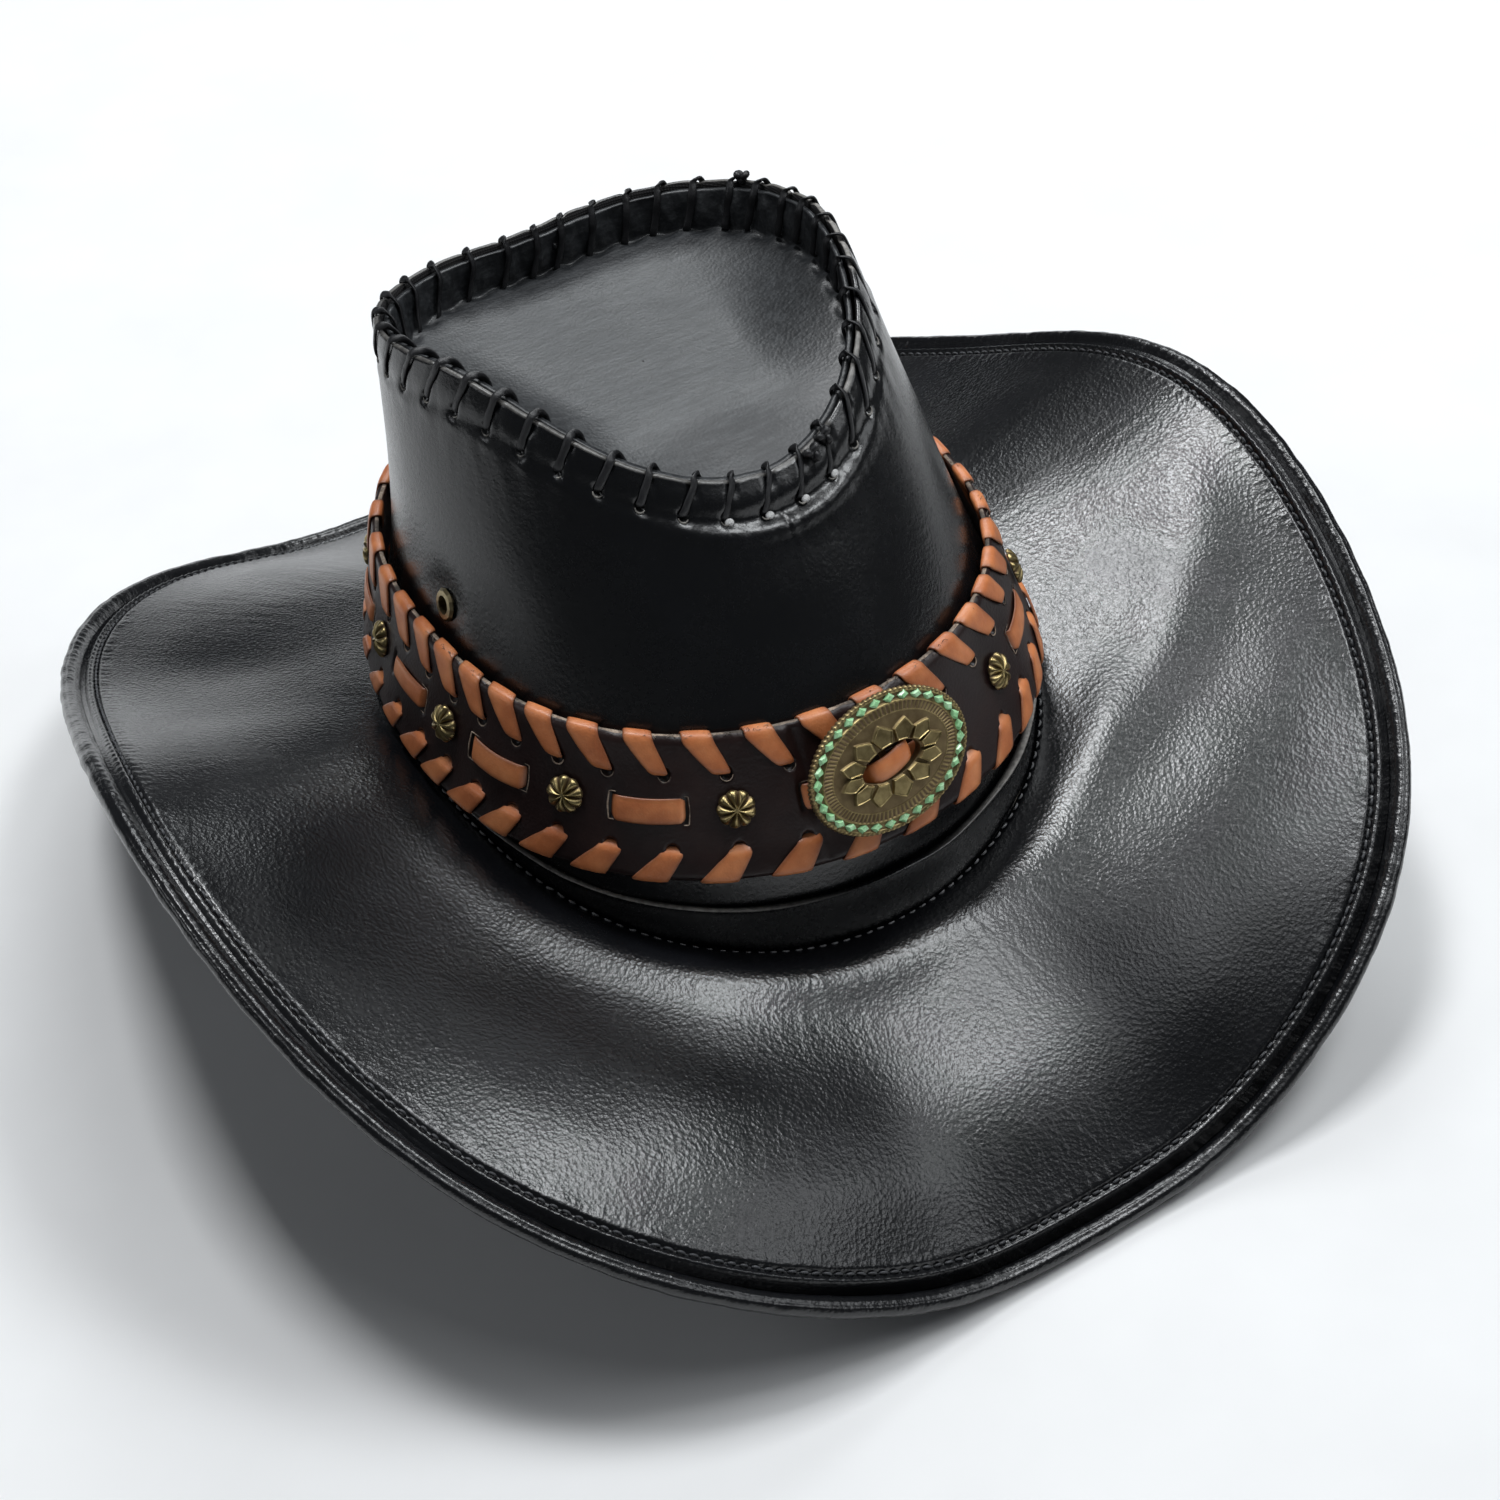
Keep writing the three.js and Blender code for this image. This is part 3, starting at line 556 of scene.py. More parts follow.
def suede(name):
    """Reddish brown flesh side of the strap."""
    colour = (0.16, 0.060, 0.034)
    look = Look(name, Specular_IOR_Level=0.2, Sheen_Weight=0.25, Sheen_Roughness=0.5)
    nap = look.noise(0.7, 4, 0.7)
    cloud = look.noise(11, 3)
    dark = tuple(c * 0.45 for c in colour)
    light = tuple(c * 1.6 for c in colour)
    rubbed = look.math("MULTIPLY", cloud, 0.5)
    look.set("Base Color", look.mix(rubbed, look.ramp(nap, (0.3, dark), (0.7, colour)), light))
    look.set("Roughness", look.ramp(nap, (0.3, 0.95), (0.7, 0.8)))
    look.bumps((nap, 0.25, 0.7), (look.noise(0.25, 2), 0.1, 0.6))
    return look.material


def tan_lace(name):
    """Flat orange-brown lace with pale specks, painted shade along its borders and near-black painted shade
    where it goes into holes.
    """
    look = Look(name, Specular_IOR_Level=0.5, Coat_Weight=0.15, Coat_Roughness=0.25)
    cloud = look.noise(9, 3)
    fine = look.noise(0.9, 4, 0.65)
    colour = look.ramp(cloud, (0.25, (0.45, 0.125, 0.040)), (0.5, (0.62, 0.200, 0.068)),
                       (0.78, (0.80, 0.31, 0.120)))
    # painted shade: the border mask darkens the lace's rounded edges
    colour = look.mix(look.math("MULTIPLY", look.mask("border"), 0.75), colour, (0.10, 0.030, 0.014))
    colour = look.mix(look.ramp(fine, (0.55, 0.0), (0.85, 0.35)), colour, (0.66, 0.36, 0.20))
    # painted shade: near-black where the lace goes into its hole
    look.set("Base Color", look.mix(look.mask("hole"), colour, (0.02, 0.007, 0.004)))
    look.set("Roughness", look.math("ADD", look.math("MULTIPLY", fine, 0.25), 0.30))
    look.bumps(
        (look.noise(2.4, 4, 0.6), 0.18, 0.5),
        (look.cells(0.6, 0.3), 0.07, 0.5),
        (look.noise(0.25, 2), 0.03, 0.5),
    )
    return look.material


def round_lace(name):
    """Black round leather lace with a lengthwise sheen."""
    look = Look(name, Specular_IOR_Level=0.5)
    cloud = look.noise(5, 3)
    look.set("Base Color", look.ramp(cloud, (0.3, (0.005, 0.005, 0.006)), (0.75, (0.018, 0.018, 0.020))))
    look.set("Roughness", look.ramp(look.noise(2, 3), (0.3, 0.34), (0.75, 0.55)))
    look.bumps((look.noise(1.2, 4, 0.65), 0.22, 0.6), (look.noise(0.3, 2), 0.05, 0.5))
    return look.material


def thread(name, dark=(0.012, 0.012, 0.014), light=(0.11, 0.115, 0.125)):
    """Twisted sewing thread, with painted shade and painted highlight along its twist."""
    look = Look(name, Specular_IOR_Level=0.5)
    twist = look.add("ShaderNodeTexWave", {"Vector": look.place, "Scale": 900.0, "Distortion": 3.0})
    shade = look.math("MULTIPLY", twist.outputs["Fac"], look.noise(3, 2))
    look.set("Base Color", look.ramp(shade, (0.1, dark), (0.6, light)))
    look.set("Roughness", look.ramp(shade, (0.1, 0.55), (0.6, 0.38)))
    look.bumps((twist.outputs["Fac"], 0.08, 0.6))
    return look.material


def old_brass(name, bright=(0.50, 0.40, 0.19), mid=(0.25, 0.19, 0.085)):
    """Antique brass: bright where it is rubbed, brown and dull in the hollows."""
    dark = (0.092, 0.052, 0.030)
    look = Look(name)
    look.set("Metallic", look.ramp(look.mask("hollow"), (0.3, 1.0), (0.9, 0.35)))
    blotch = look.noise(2.6, 4, 0.6)
    colour = look.ramp(blotch, (0.3, mid), (0.7, bright))
    look.set("Base Color", look.mix(look.mask("hollow"), colour, dark))
    dull = look.math("MULTIPLY_ADD", look.mask("hollow"), 0.35, 0.22)
    look.set("Roughness", look.math("ADD", look.math("MULTIPLY", blotch, 0.2), dull, clamp=True))
    look.bumps((look.noise(0.8, 4, 0.7), 0.07, 0.55), (look.noise(0.25, 2), 0.03, 0.5))
    return look.material


def green_stone(name):
    """Pale green glass-like inlay."""
    look = Look(name, Specular_IOR_Level=0.6, Coat_Weight=0.6, Coat_Roughness=0.08)
    cloud = look.noise(1.6, 3)
    look.set("Base Color", look.ramp(cloud, (0.3, (0.32, 0.72, 0.33)), (0.55, (0.48, 0.87, 0.48)),
                                     (0.8, (0.76, 0.97, 0.74))))
    look.set("Roughness", look.ramp(cloud, (0.3, 0.18), (0.7, 0.32)))
    look.bumps((look.noise(0.7, 3), 0.05, 0.5))
    return look.material


def stuffing(name):
    """Pale fluff behind the leather."""
    look = Look(name, Specular_IOR_Level=0.3)
    fluff = look.noise(0.5, 4, 0.7)
    look.set("Base Color", look.ramp(fluff, (0.3, (0.42, 0.42, 0.42)), (0.7, (0.80, 0.80, 0.79))))
    look.set("Roughness", look.ramp(fluff, (0.3, 0.9), (0.7, 0.7)))
    look.bumps((fluff, 0.2, 0.7))
    return look.material


def fibre_board(name):
    """Stiffening board between the brim's sheets."""
    look = Look(name, Specular_IOR_Level=0.2)
    grain = look.noise(1.5, 4, 0.7)
    look.set("Base Color", look.ramp(grain, (0.3, (0.24, 0.22, 0.19)), (0.7, (0.38, 0.35, 0.30))))
    look.set("Roughness", look.ramp(grain, (0.3, 0.95), (0.7, 0.85)))
    look.bumps((grain, 0.2, 0.6))
    return look.material


def steel(name):
    look = Look(name, Metallic=1.0)
    grain = look.noise(3, 3)
    look.set("Base Color", look.ramp(grain, (0.3, (0.42, 0.43, 0.44)), (0.7, (0.60, 0.61, 0.62))))
    look.set("Roughness", look.ramp(grain, (0.3, 0.3), (0.7, 0.42)))
    look.bumps((grain, 0.03, 0.4))
    return look.material


def plain_floor(name):
    look = Look(name, Specular_IOR_Level=0.2)
    grain = look.noise(60, 3)
    look.set("Base Color", look.ramp(grain, (0.3, (0.86, 0.86, 0.86)), (0.7, (0.90, 0.90, 0.90))))
    look.set("Roughness", look.ramp(grain, (0.3, 0.8), (0.7, 0.9)))
    return look.material


BRIM_LEATHER = black_leather("brim_leather", 0.20, 1.0, (0.0040, 0.0043, 0.0054), 0.12)
CROWN_LEATHER = black_leather("crown_leather", 0.22, 0.45, (0.0035, 0.0038, 0.0046), 0.15)
SWEATBAND_LEATHER = black_leather("sweatband_leather", 0.55, 0.8, (0.020, 0.014, 0.011), 0.4)
PANEL_LEATHER = scratched_leather("panel_leather")
LINING = lining("lining")
CUT_EDGE = raw_edge("cut_edge")
STRAP_LEATHER = strap_leather("strap_leather")
STRAP_EDGE = raw_edge("strap_edge", (0.16, 0.10, 0.07), (0.52, 0.42, 0.33))
SUEDE = suede("strap_suede")
TAN_LACE = tan_lace("tan_lace")
BLACK_LACE = round_lace("black_lace")
THREAD = thread("thread")
PALE_THREAD = thread("pale_thread", (0.05, 0.05, 0.052), (0.40, 0.40, 0.41))
BRASS = old_brass("antique_brass")
EYELET_BRASS = old_brass("eyelet_brass", (0.40, 0.33, 0.19), (0.20, 0.16, 0.09))
GREEN = green_stone("green_inlay")
STUFFING = stuffing("stuffing")


# ---- Brim ---------------------------------------------------------------------------------------

HEM = 10.6                 # stitch line to the brim's outer edge
HEM_STITCHES = 366
BRIM_COLUMNS = 3 * HEM_STITCHES
BRIM_ROWS = 78


def hem_phase(angle):
    """Number of hem stitches passed, and its fraction."""
    fine = np.linspace(0, TAU, 1441)
    edge = around(fine, edge_radius(fine) - HEM, edge_height(fine))
    lengths = np.concatenate([[0], np.cumsum(np.linalg.norm(np.diff(edge, axis=0), axis=1))])
    return np.interp(angle % TAU, fine, lengths) / lengths[-1] * HEM_STITCHES


def edge_distance(angle, reach):
    """Distance from a point of the brim to its outer edge, down the slope."""
    start, end = brim_ends(angle)
    fall = np.cos(np.radians(outer_slope(angle)))
    return (1 - reach) * (end - start) / fall + ROLL_INSET + ROLL_RADIUS


def brim_relief(angle, reach, points):
    """How far the brim's top leather stands above its plain surface, mm."""
    start, end = brim_ends(angle)
    out = (end - start) * reach
    to_edge = edge_distance(angle, reach)
    phase = hem_phase(angle) * TAU
    field = step_up(to_edge, HEM + 1, HEM + 26) * step_up(out, 0, 10)
    waves = 0.4 + 0.9 * noise(points, 62, 3) + 0.35 * noise(points, 27, 5)
    front = bell(turn_from(angle, math.radians(-24)), 0, 0.75)
    crest = 13 + 2 * np.sin(3 * angle) - 4.5 * bell(turn_from(angle, math.radians(6)), 0, 0.24)
    ridge = front * (3.4 * bell(out, crest, 9) - 1.0 * bell(out, 36, 13))
    fold_line = math.radians(41) + math.radians(0.6) * (out - 13)
    across = turn_from(angle, fold_line) * (start + out)
    fold = 1.9 * bell(across, 0, 21) * step_up(out, 2, 22) * (1 - step_up(reach, 0.35, 0.92))
    ridge = ridge + fold
    grain_way = points_at(angle * 190, out, 0)
    pulls = 0.03 * layers(grain_way, (3.4, 15, 1), 11, 2) * step_up(noise(points, 38, 17), -0.05, 0.45)
    puckers = (0.09 * np.cos(phase) + 0.14 * noise(points, 5, 21)) * bell(to_edge, HEM + 2.2, 2.4)
    seam = -0.75 * bell(to_edge, HEM, 0.9) - 0.35 * (1 + np.cos(phase)) / 2 * bell(to_edge, HEM, 0.8)
    strip = (0.35 * bell(to_edge, HEM - 1.9, 1.0)
             + 0.16 * np.cos(phase + 0.6) * bell(to_edge, HEM - 1.8, 1.0))
    groove = -1.7 * bell(to_edge, 6.3, 1.6)
    foot = -0.6 * np.exp(-out / 1.6)
    return field * (waves + pulls) + ridge + puckers + seam + strip + groove + foot


def brim_rows():
    """Reaches from the crown to the roll, closer together at the seam and over the hem."""
    field = np.linspace(0, 0.86, BRIM_ROWS - 40)
    hem = np.linspace(0.86, 1.0, 41)[1:]
    return np.concatenate([field, hem])


def make_brim():
    angle = np.arange(BRIM_COLUMNS)[None, :] * TAU / BRIM_COLUMNS
    reach = brim_rows()[:, None]
    plain = brim_point(angle, reach)
    flat_angle, flat_reach = np.broadcast_arrays(angle, reach)
    relief = brim_relief(flat_angle, flat_reach, plain)
    top = plain - outward_of(plain) * relief[..., None]
    hidden = brim_point(angle, np.linspace(1.0, 0.0, 12)[:, None], BRIM_SHEET)
    brim = sheet_piece("brim_top_leather", np.concatenate([top, hidden])[::-1], [BRIM_LEATHER])
    placed(brim, "hat", "brim_leather", "brim_top")


def make_brim_underside():
    angle = np.arange(540)[None, :] * TAU / 540
    reach = np.linspace(0, 1, 60)[:, None]
    bottom = brim_point(angle, reach, BRIM_THICKNESS)
    wobble = 0.35 * noise(bottom, 40, 31) * step_up(1 - reach, 0, 0.1) * step_up(reach, 0, 0.1)
    bottom[..., 2] += wobble
    inner = brim_point(angle, np.linspace(1, 0, 10)[:, None], BRIM_THICKNESS - BRIM_SHEET)
    piece = sheet_piece("brim_underside_leather", np.concatenate([bottom, inner]), [BRIM_LEATHER])
    placed(piece, "hat", "brim_leather", "brim_underside")


def make_brim_roll():
    """Leather rolled over the wire: a wrinkled tube that touches the brim at its inner side."""
    angle = np.arange(BRIM_COLUMNS)[None, :] * TAU / BRIM_COLUMNS
    turn = (np.arange(36) * TAU / 36)[:, None]
    plain = around(angle, edge_radius(angle) - ROLL_RADIUS * np.cos(turn),
                   edge_height(angle) + ROLL_RADIUS * np.sin(turn))
    phase = hem_phase(angle) * TAU
    wrinkle = 0.20 * layers(plain, (7, 7, 5), 41, 3)
    wrinkle = wrinkle + 0.12 * np.cos(phase + 0.8 * turn) * bell(turn, math.radians(62), 0.5)
    dents = -0.30 * bell(turn, math.radians(112), 0.15) - 0.35 * bell(turn, math.radians(205), 0.12)
    inner_side = 0.75 * bell(turn_from(turn, 0), 0, 0.30)
    radius = ROLL_RADIUS + wrinkle + dents + inner_side
    points = around(angle, edge_radius(angle) - radius * np.cos(turn),
                    np.maximum(0.0, edge_height(angle) + radius * np.sin(turn)))[::-1]
    piece = sheet_piece("brim_edge_roll", points, [BRIM_LEATHER])
    placed(piece, "hat", "brim_leather", "brim_edge_welt")


def stitches(name, centres, along, outward, length, width, height, sink, material, seed):
    """A row of short thread stitches that dip into the leather at both ends."""
    rng = np.random.default_rng(seed)
    count = len(centres)
    tilt = rng.normal(0, 0.07, count)[:, None]
    size = (length * rng.uniform(0.88, 1.06, count))[:, None, None]
    side = np.cross(outward, along)
    heading = along * np.cos(tilt) + side * np.sin(tilt)
    place = np.linspace(-0.5, 0.5, 9)
    arch = 1 - (2 * np.abs(place)) ** 2.2
    paths = (
        centres[:, None]
        + heading[:, None] * place[None, :, None] * size
        + outward[:, None] * ((arch * (height + sink) - sink)[None, :, None])
    )
    taper = np.sqrt(np.clip(1 - (2 * np.abs(place)) ** 4, 0.08, 1))[None, :]
    return strand_piece(name, paths, outward[:, None], width / 2 * taper, width / 2 * 0.8 * taper,
                        material, 8)


def make_hem_stitches():
    fine = np.linspace(0, TAU, 2881)
    phases = hem_phase(fine[:-1])
    angle = np.interp(np.arange(HEM_STITCHES) + 0.5, np.concatenate([phases, [HEM_STITCHES]]), fine)
    start, end = brim_ends(angle)
    fall = np.cos(np.radians(outer_slope(angle)))
    reach = 1 - (HEM - ROLL_INSET - ROLL_RADIUS) * fall / (end - start)
    along, _, down = directions(brim_point, angle, reach)
    centre = brim_point(angle, reach) + down * 0.55
    piece = stitches("brim_stitches", centre, along, -down, 2.5, 0.75, 0.35, 0.4, THREAD, 51)
    placed(piece, "hat", "brim_leather")


# ---- Crown --------------------------------------------------------------------------------------

LACE_STITCHES = 38
LACE_START = 0.56          # place of the first stitch, as a share of the spacing
LACE_RADIUS = 0.85
LACE_LEAN = 0.45           # how far a stitch leans from its hole to the edge, as a share of the spacing
HOLE_DROP = 9.4            # lace holes below the top edge
LACE_REACH = 62.0          # crown's mean radius at the holes
KNOT_RADIUS = 0.95
KNOTS = [                  # degrees round the crown, share of its height, inset, size, seed
    (124, 1.0, 1.2, 1.15, 1), (173, 0.965, 5.2, 1.7, 4),
    (17, 0.994, -0.4, 1.4, 2), (12, 0.99, -0.5, 1.4, 3),
]


HEIGHT_ANGLES = np.linspace(0, TAU, 721)
CROWN_HEIGHTS = np.linalg.norm(
    np.diff(crown_point(HEIGHT_ANGLES[:, None], np.linspace(0.6, 1, 60)), axis=-2), axis=-1).sum(-1) / 0.4


def crown_height(angle):
    """Length of the crown's wall from its foot to its top edge, mm."""
    return np.interp(np.asarray(angle) % TAU, HEIGHT_ANGLES, CROWN_HEIGHTS)


def lace_angles():
    return even_angles(lambda a: crown_point(a, 0.94), LACE_STITCHES, LACE_START)


def hole_share(angle):
    return 1 - HOLE_DROP / crown_height(angle)


def rim_lift(angle):
    """How far the crown's soft top edge stands above its plain line, mm."""
    back = 1.5 * bell(turn_from(angle, math.radians(172)), 0, 0.5)
    return back + 0.35 * layers(around(angle, LACE_REACH, 170.0), 9, 77, 2)


def crown_relief(angle, share, points):
    """How far the crown's leather stands out from its plain wall, mm."""
    body = step_up(share, 0.02, 0.2) * step_up(1 - share, 0.0, 0.06)
    waves = 0.9 * noise(points, 58, 61) + 0.35 * noise(points, 24, 63)
    drop = (1 - share) * crown_height(angle)
    step = TAU / LACE_STITCHES
    gather = 0
    for centre in lace_angles():
        across = turn_from(angle, centre) * LACE_REACH
        gather = gather - 1.2 * np.exp(-(across / 1.2) ** 2 - ((drop - HOLE_DROP) / 1.2) ** 2)
        gather = gather + 0.16 * np.exp(-(across / 2.2) ** 2 - ((drop - HOLE_DROP - 2.8) / 1.4) ** 2)
        lean = LACE_LEAN * step * (1 - drop / HOLE_DROP)
        under = turn_from(angle, centre + lean) * LACE_REACH
        gather = gather - 0.65 * bell(under, 0, 1.2) * step_up(HOLE_DROP + 0.5 - drop, 0, 2)
    front = bell(turn_from(angle, math.radians(4)), 0, 0.42)
    puff = (0.25 + 0.6 * front) * bell(drop, 4.6, 3.4) - 0.25 * bell(drop, HOLE_DROP, 2.0)
    tuck = front * (1.0 * bell(drop, HOLE_DROP + 4.2, 2.4) - 1.1 * bell(drop, HOLE_DROP + 0.3, 2.0))
    along = points_at(angle * 70, drop, 0)
    folds = (0.10 + 0.16 * front) * layers(along, (5, 14, 1), 71, 2) * bell(drop, 13, 9)
    return body * waves + gather + puff + tuck + folds


def eyelet_centres():
    return [crown_point(side * math.pi / 2, EYELET_SHARE) for side in (-1, 1)]


def make_crown():
    columns = 850
    angle = np.arange(columns)[None, :] * TAU / columns
    share = np.concatenate([
        np.linspace(0, EYELET_SHARE - 0.03, 30), np.linspace(EYELET_SHARE - 0.028, EYELET_SHARE + 0.028, 22),
        np.linspace(EYELET_SHARE + 0.03, 0.90, 10), np.linspace(0.902, 0.995, 42),
    ])[:, None]
    flat_angle, flat_share = np.broadcast_arrays(angle, share)
    plain = crown_point(angle, share)
    relief = crown_relief(flat_angle, flat_share, plain)
    for centre in eyelet_centres():
        from_eyelet = np.linalg.norm(plain - centre, axis=-1)
        relief = relief * step_up(from_eyelet, 3, 14)
        relief = relief - 3.5 * (1 - step_up(from_eyelet, 2.6, 3.3))
    outer = plain + outward_of(plain) * relief[..., None]
    drop = (1 - flat_share) * crown_height(flat_angle)
    # painted shade: near-black in each lace hole of the crown
    hole = np.zeros(flat_angle.shape)
    for centre in lace_angles():
        across = turn_from(flat_angle, centre) * LACE_REACH
        hole = np.maximum(hole, np.exp(-((across / 1.0) ** 2 + ((drop - HOLE_DROP) / 1.0) ** 2) ** 1.5))
    notch = sum(bell(turn_from(angle, centre + LACE_LEAN * TAU / LACE_STITCHES) * LACE_REACH, 0, 1.2)
                for centre in lace_angles())
    edge_wave = rim_lift(angle) - 0.55 * notch
    rise = np.array([0.35, 0.5, 0.5, 0.35])[:, None]
    inset = np.array([0.30, 0.55, 1.15, 1.40])[:, None]
    lip = crown_point(angle, 0.995, inset - edge_wave * 0.4)
    lip[..., 2] += rise + edge_wave
    outer[..., 2] += edge_wave * step_up(flat_share, 0.93, 1.0)
    inner = crown_point(angle, np.linspace(0.99, 0, 8)[:, None], WALL)
    points = np.concatenate([outer, lip, inner])
    rows = np.zeros(len(points), int)
    rows[len(outer) + 3:] = 1
    raw_mask, hole_shade_mask = np.zeros((2, *points.shape[:2]))
    # the pale raw top edge is strongest round 75 degrees, towards the wearer's left, and patchy
    side_paleness = 0.30 + 0.65 * bell(turn_from(angle[0], math.radians(75)), 0, 0.75)
    patchy = step_up(noise(around(angle[0], LACE_REACH, 170.0), 9, 78), -0.6, 0.1)
    raw_mask[len(outer):len(outer) + 4] = side_paleness * patchy
    hole_shade_mask[:len(outer)] = hole
    # and painted shade in the eyelet bores
    for centre in eyelet_centres():
        bore = 1 - step_up(np.linalg.norm(plain - centre, axis=-1), 2.4, 3.0)
        hole_shade_mask[:len(outer)] = np.maximum(hole_shade_mask[:len(outer)], bore)
    piece = sheet_piece("crown_leather", points, [CROWN_LEATHER, LINING], row_material=rows,
                        raw=raw_mask, hole=hole_shade_mask)
    placed(piece, "hat", "crown_leather", "crown_wall")


def flange_inset(share):
    return WALL + LAYER_GAP + FLANGE_LEAN * (1 - share) / (1 - FLANGE_FOOT)


def make_panel():
    """Recessed top panel with its wrinkled, turned-up flange."""
    columns = 900
    angle = np.arange(columns)[None, :] * TAU / columns
    border = crown_point(angle, FLANGE_FOOT, flange_inset(FLANGE_FOOT) + PANEL_THICKNESS)
    reach = np.concatenate([np.linspace(0.004, 0.9, 34), np.linspace(0.9, 1.0, 12)[1:]])[:, None]
    bend = np.clip((reach - 0.45) / 0.55, 0, 1)
    height = PANEL_CENTRE_HEIGHT + (border[..., 2] - PANEL_CENTRE_HEIGHT) * bend**2 * (2 - bend)
    flat = np.stack([border[..., 0] * reach, RIM_SHIFT + (border[..., 1] - RIM_SHIFT) * reach, height], -1)
    scallop = hole_ripple(angle)
    flat[..., 2] += (0.22 * noise(flat, 34, 81) + 0.05 * noise(flat, 9, 83)) * step_up(1 - reach, 0, 0.2)
    flat[..., 2] += (-0.5 - 0.5 * scallop) * bell(reach, 0.985, 0.03)
    share = np.linspace(FLANGE_FOOT, FLANGE_TOP, 26)[1:, None]
    flange = crown_point(angle, share, flange_inset(share) + PANEL_THICKNESS)
    inward = -outward_of(flange)
    climb = (share - FLANGE_FOOT) / (FLANGE_TOP - FLANGE_FOOT)
    drop = (1 - share) * crown_height(angle)
    puffs = 0.9 * np.sin(math.pi * np.clip(climb, 0, 1)) * (0.5 + 0.5 * scallop)
    wrinkles = 0.55 * layers(points_at(angle * 60, drop, 0), (4.5, 9, 1), 91, 3)
    back = 0.35 + 0.65 * step_up(np.abs(turn_from(angle, 0)), 1.2, 2.2)
    flange = flange + inward * ((puffs + wrinkles * np.sin(math.pi * climb) ** 0.6) * back)[..., None]
    flange[..., 2] += rim_lift(angle) * climb**2
    outer_share = np.linspace(FLANGE_TOP, FLANGE_FOOT - 0.02, 8)[:, None]
    outer = crown_point(angle, outer_share, flange_inset(outer_share))
    outer[..., 2] += rim_lift(angle) * step_up(outer_share, FLANGE_FOOT, FLANGE_TOP) - 0.2
    under = flat[::-6].copy()
    under[..., 2] -= PANEL_THICKNESS
    points = np.concatenate([flat, flange, outer, under])[:, ::-1]
    rows = np.zeros(len(points) - 1, int)
    rows[len(points) - len(under):] = 1
    piece = sheet_piece("crown_top_panel_leather", points, [PANEL_LEATHER, LINING], wrap_rows=False,
                        row_material=rows)
    placed(piece, "hat", "panel_leather", "crown_top_panel")


def hole_ripple(angle):
    """From -1 at a lace hole to 1 half way between two."""
    angles = np.sort(lace_angles())
    phase = np.interp(angle % TAU, np.concatenate([angles - TAU, angles, angles + TAU]),
                      np.arange(3 * LACE_STITCHES))
    return -np.cos(phase * TAU)


def make_crown_lace():
    """Round lace whipped over the crown's top edge, one strand for each stitch."""
    rng = np.random.default_rng(101)
    angles = lace_angles()
    step = TAU / LACE_STITCHES
    height = crown_height(angles)
    share_of = lambda drop: 1 - drop / height
    lean = LACE_LEAN + rng.normal(0, 0.05, LACE_STITCHES)
    rows = []
    keys = [  # drop below the edge, distance out of the wall's outer face, share of the lean
        (HOLE_DROP + 0.2, -1.9, 0.0), (HOLE_DROP - 0.5, -0.4, 0.0), (HOLE_DROP - 2.2, 0.15, 0.2),
        (5.2, 0.35, 0.42), (2.9, 0.35, 0.70), (1.1, 0.25, 0.9),
    ]
    for drop, out, turn in keys:
        rows.append(crown_point(angles + lean * turn * step, share_of(drop), -out))
    for inset, rise, turn in ((0.2, 0.1, 1.0), (1.6, 0.42, 1.1), (3.2, 0.0, 1.2)):
        point = crown_point(angles + lean * turn * step, 1.0, inset)
        point[..., 2] += rise + rim_lift(angles + lean * turn * step)
        rows.append(point)
    for drop, turn in ((2.0, 1.3), (5.0, 1.5), (8.0, 1.75), (10.6, 2.0)):
        share = share_of(drop)
        inset = flange_inset(share) + PANEL_THICKNESS + 1.0
        rows.append(crown_point(angles + lean * turn * step, share, inset))
    rows.append(crown_point(angles + lean * 2.05 * step, share_of(11.8), flange_inset(share_of(11.8)) - 0.5))
    keyed = np.stack(rows, 1)
    paths = np.stack([through(keyed[i], 44) for i in range(LACE_STITCHES)])
    centre = around(angles, 30.0, 160.0, RIM_SHIFT)
    normals = unit(paths - centre[:, None])
    bumpy = 1 + 0.14 * noise(paths, 2.5, 103)
    piece = strand_piece("crown_whip_lace", paths, normals, LACE_RADIUS * 1.25 * bumpy,
                         LACE_RADIUS * 0.55 * bumpy, BLACK_LACE, 12)
    placed(piece, "hat", "black_lace", "crown_lacing")


def knot_path(centre, along, up, outward, size, seed):
    """A small overhand knot as one closed wandering line."""
    rng = np.random.default_rng(seed)
    t = np.linspace(0, TAU, 60)
    x = np.sin(t) + 0.45 * np.sin(2 * t)
    y = 0.8 * np.cos(t) - 0.5 * np.cos(2 * t)
    z = 0.55 * np.sin(3 * t) + 0.35
    jitter = rng.normal(0, 0.05, 3)
    return centre + size * (
        (x + jitter[0])[:, None] * along + (y + jitter[1])[:, None] * up + (z + jitter[2])[:, None] * outward
    )


def make_lace_knots():
    """Knots where the lace starts, ends and is pieced together."""
    paths, normals = [], []
    for degrees, share, inset, size, seed in KNOTS:
        angle = math.radians(degrees)
        centre = crown_point(angle, share, inset) + np.array([0, 0, 0.7 if share == 1.0 else 0.6])
        along, up, outward = directions(crown_point, np.array(angle), np.array(min(share, 0.99)))
        paths.append(knot_path(centre, along, up, outward, size, seed))
        normals.append(np.broadcast_to(outward, (60, 3)))
    piece = strand_piece("crown_lace_knots", np.stack(paths), np.stack(normals), KNOT_RADIUS, KNOT_RADIUS,
                         BLACK_LACE, 10)
    placed(piece, "hat", "black_lace")


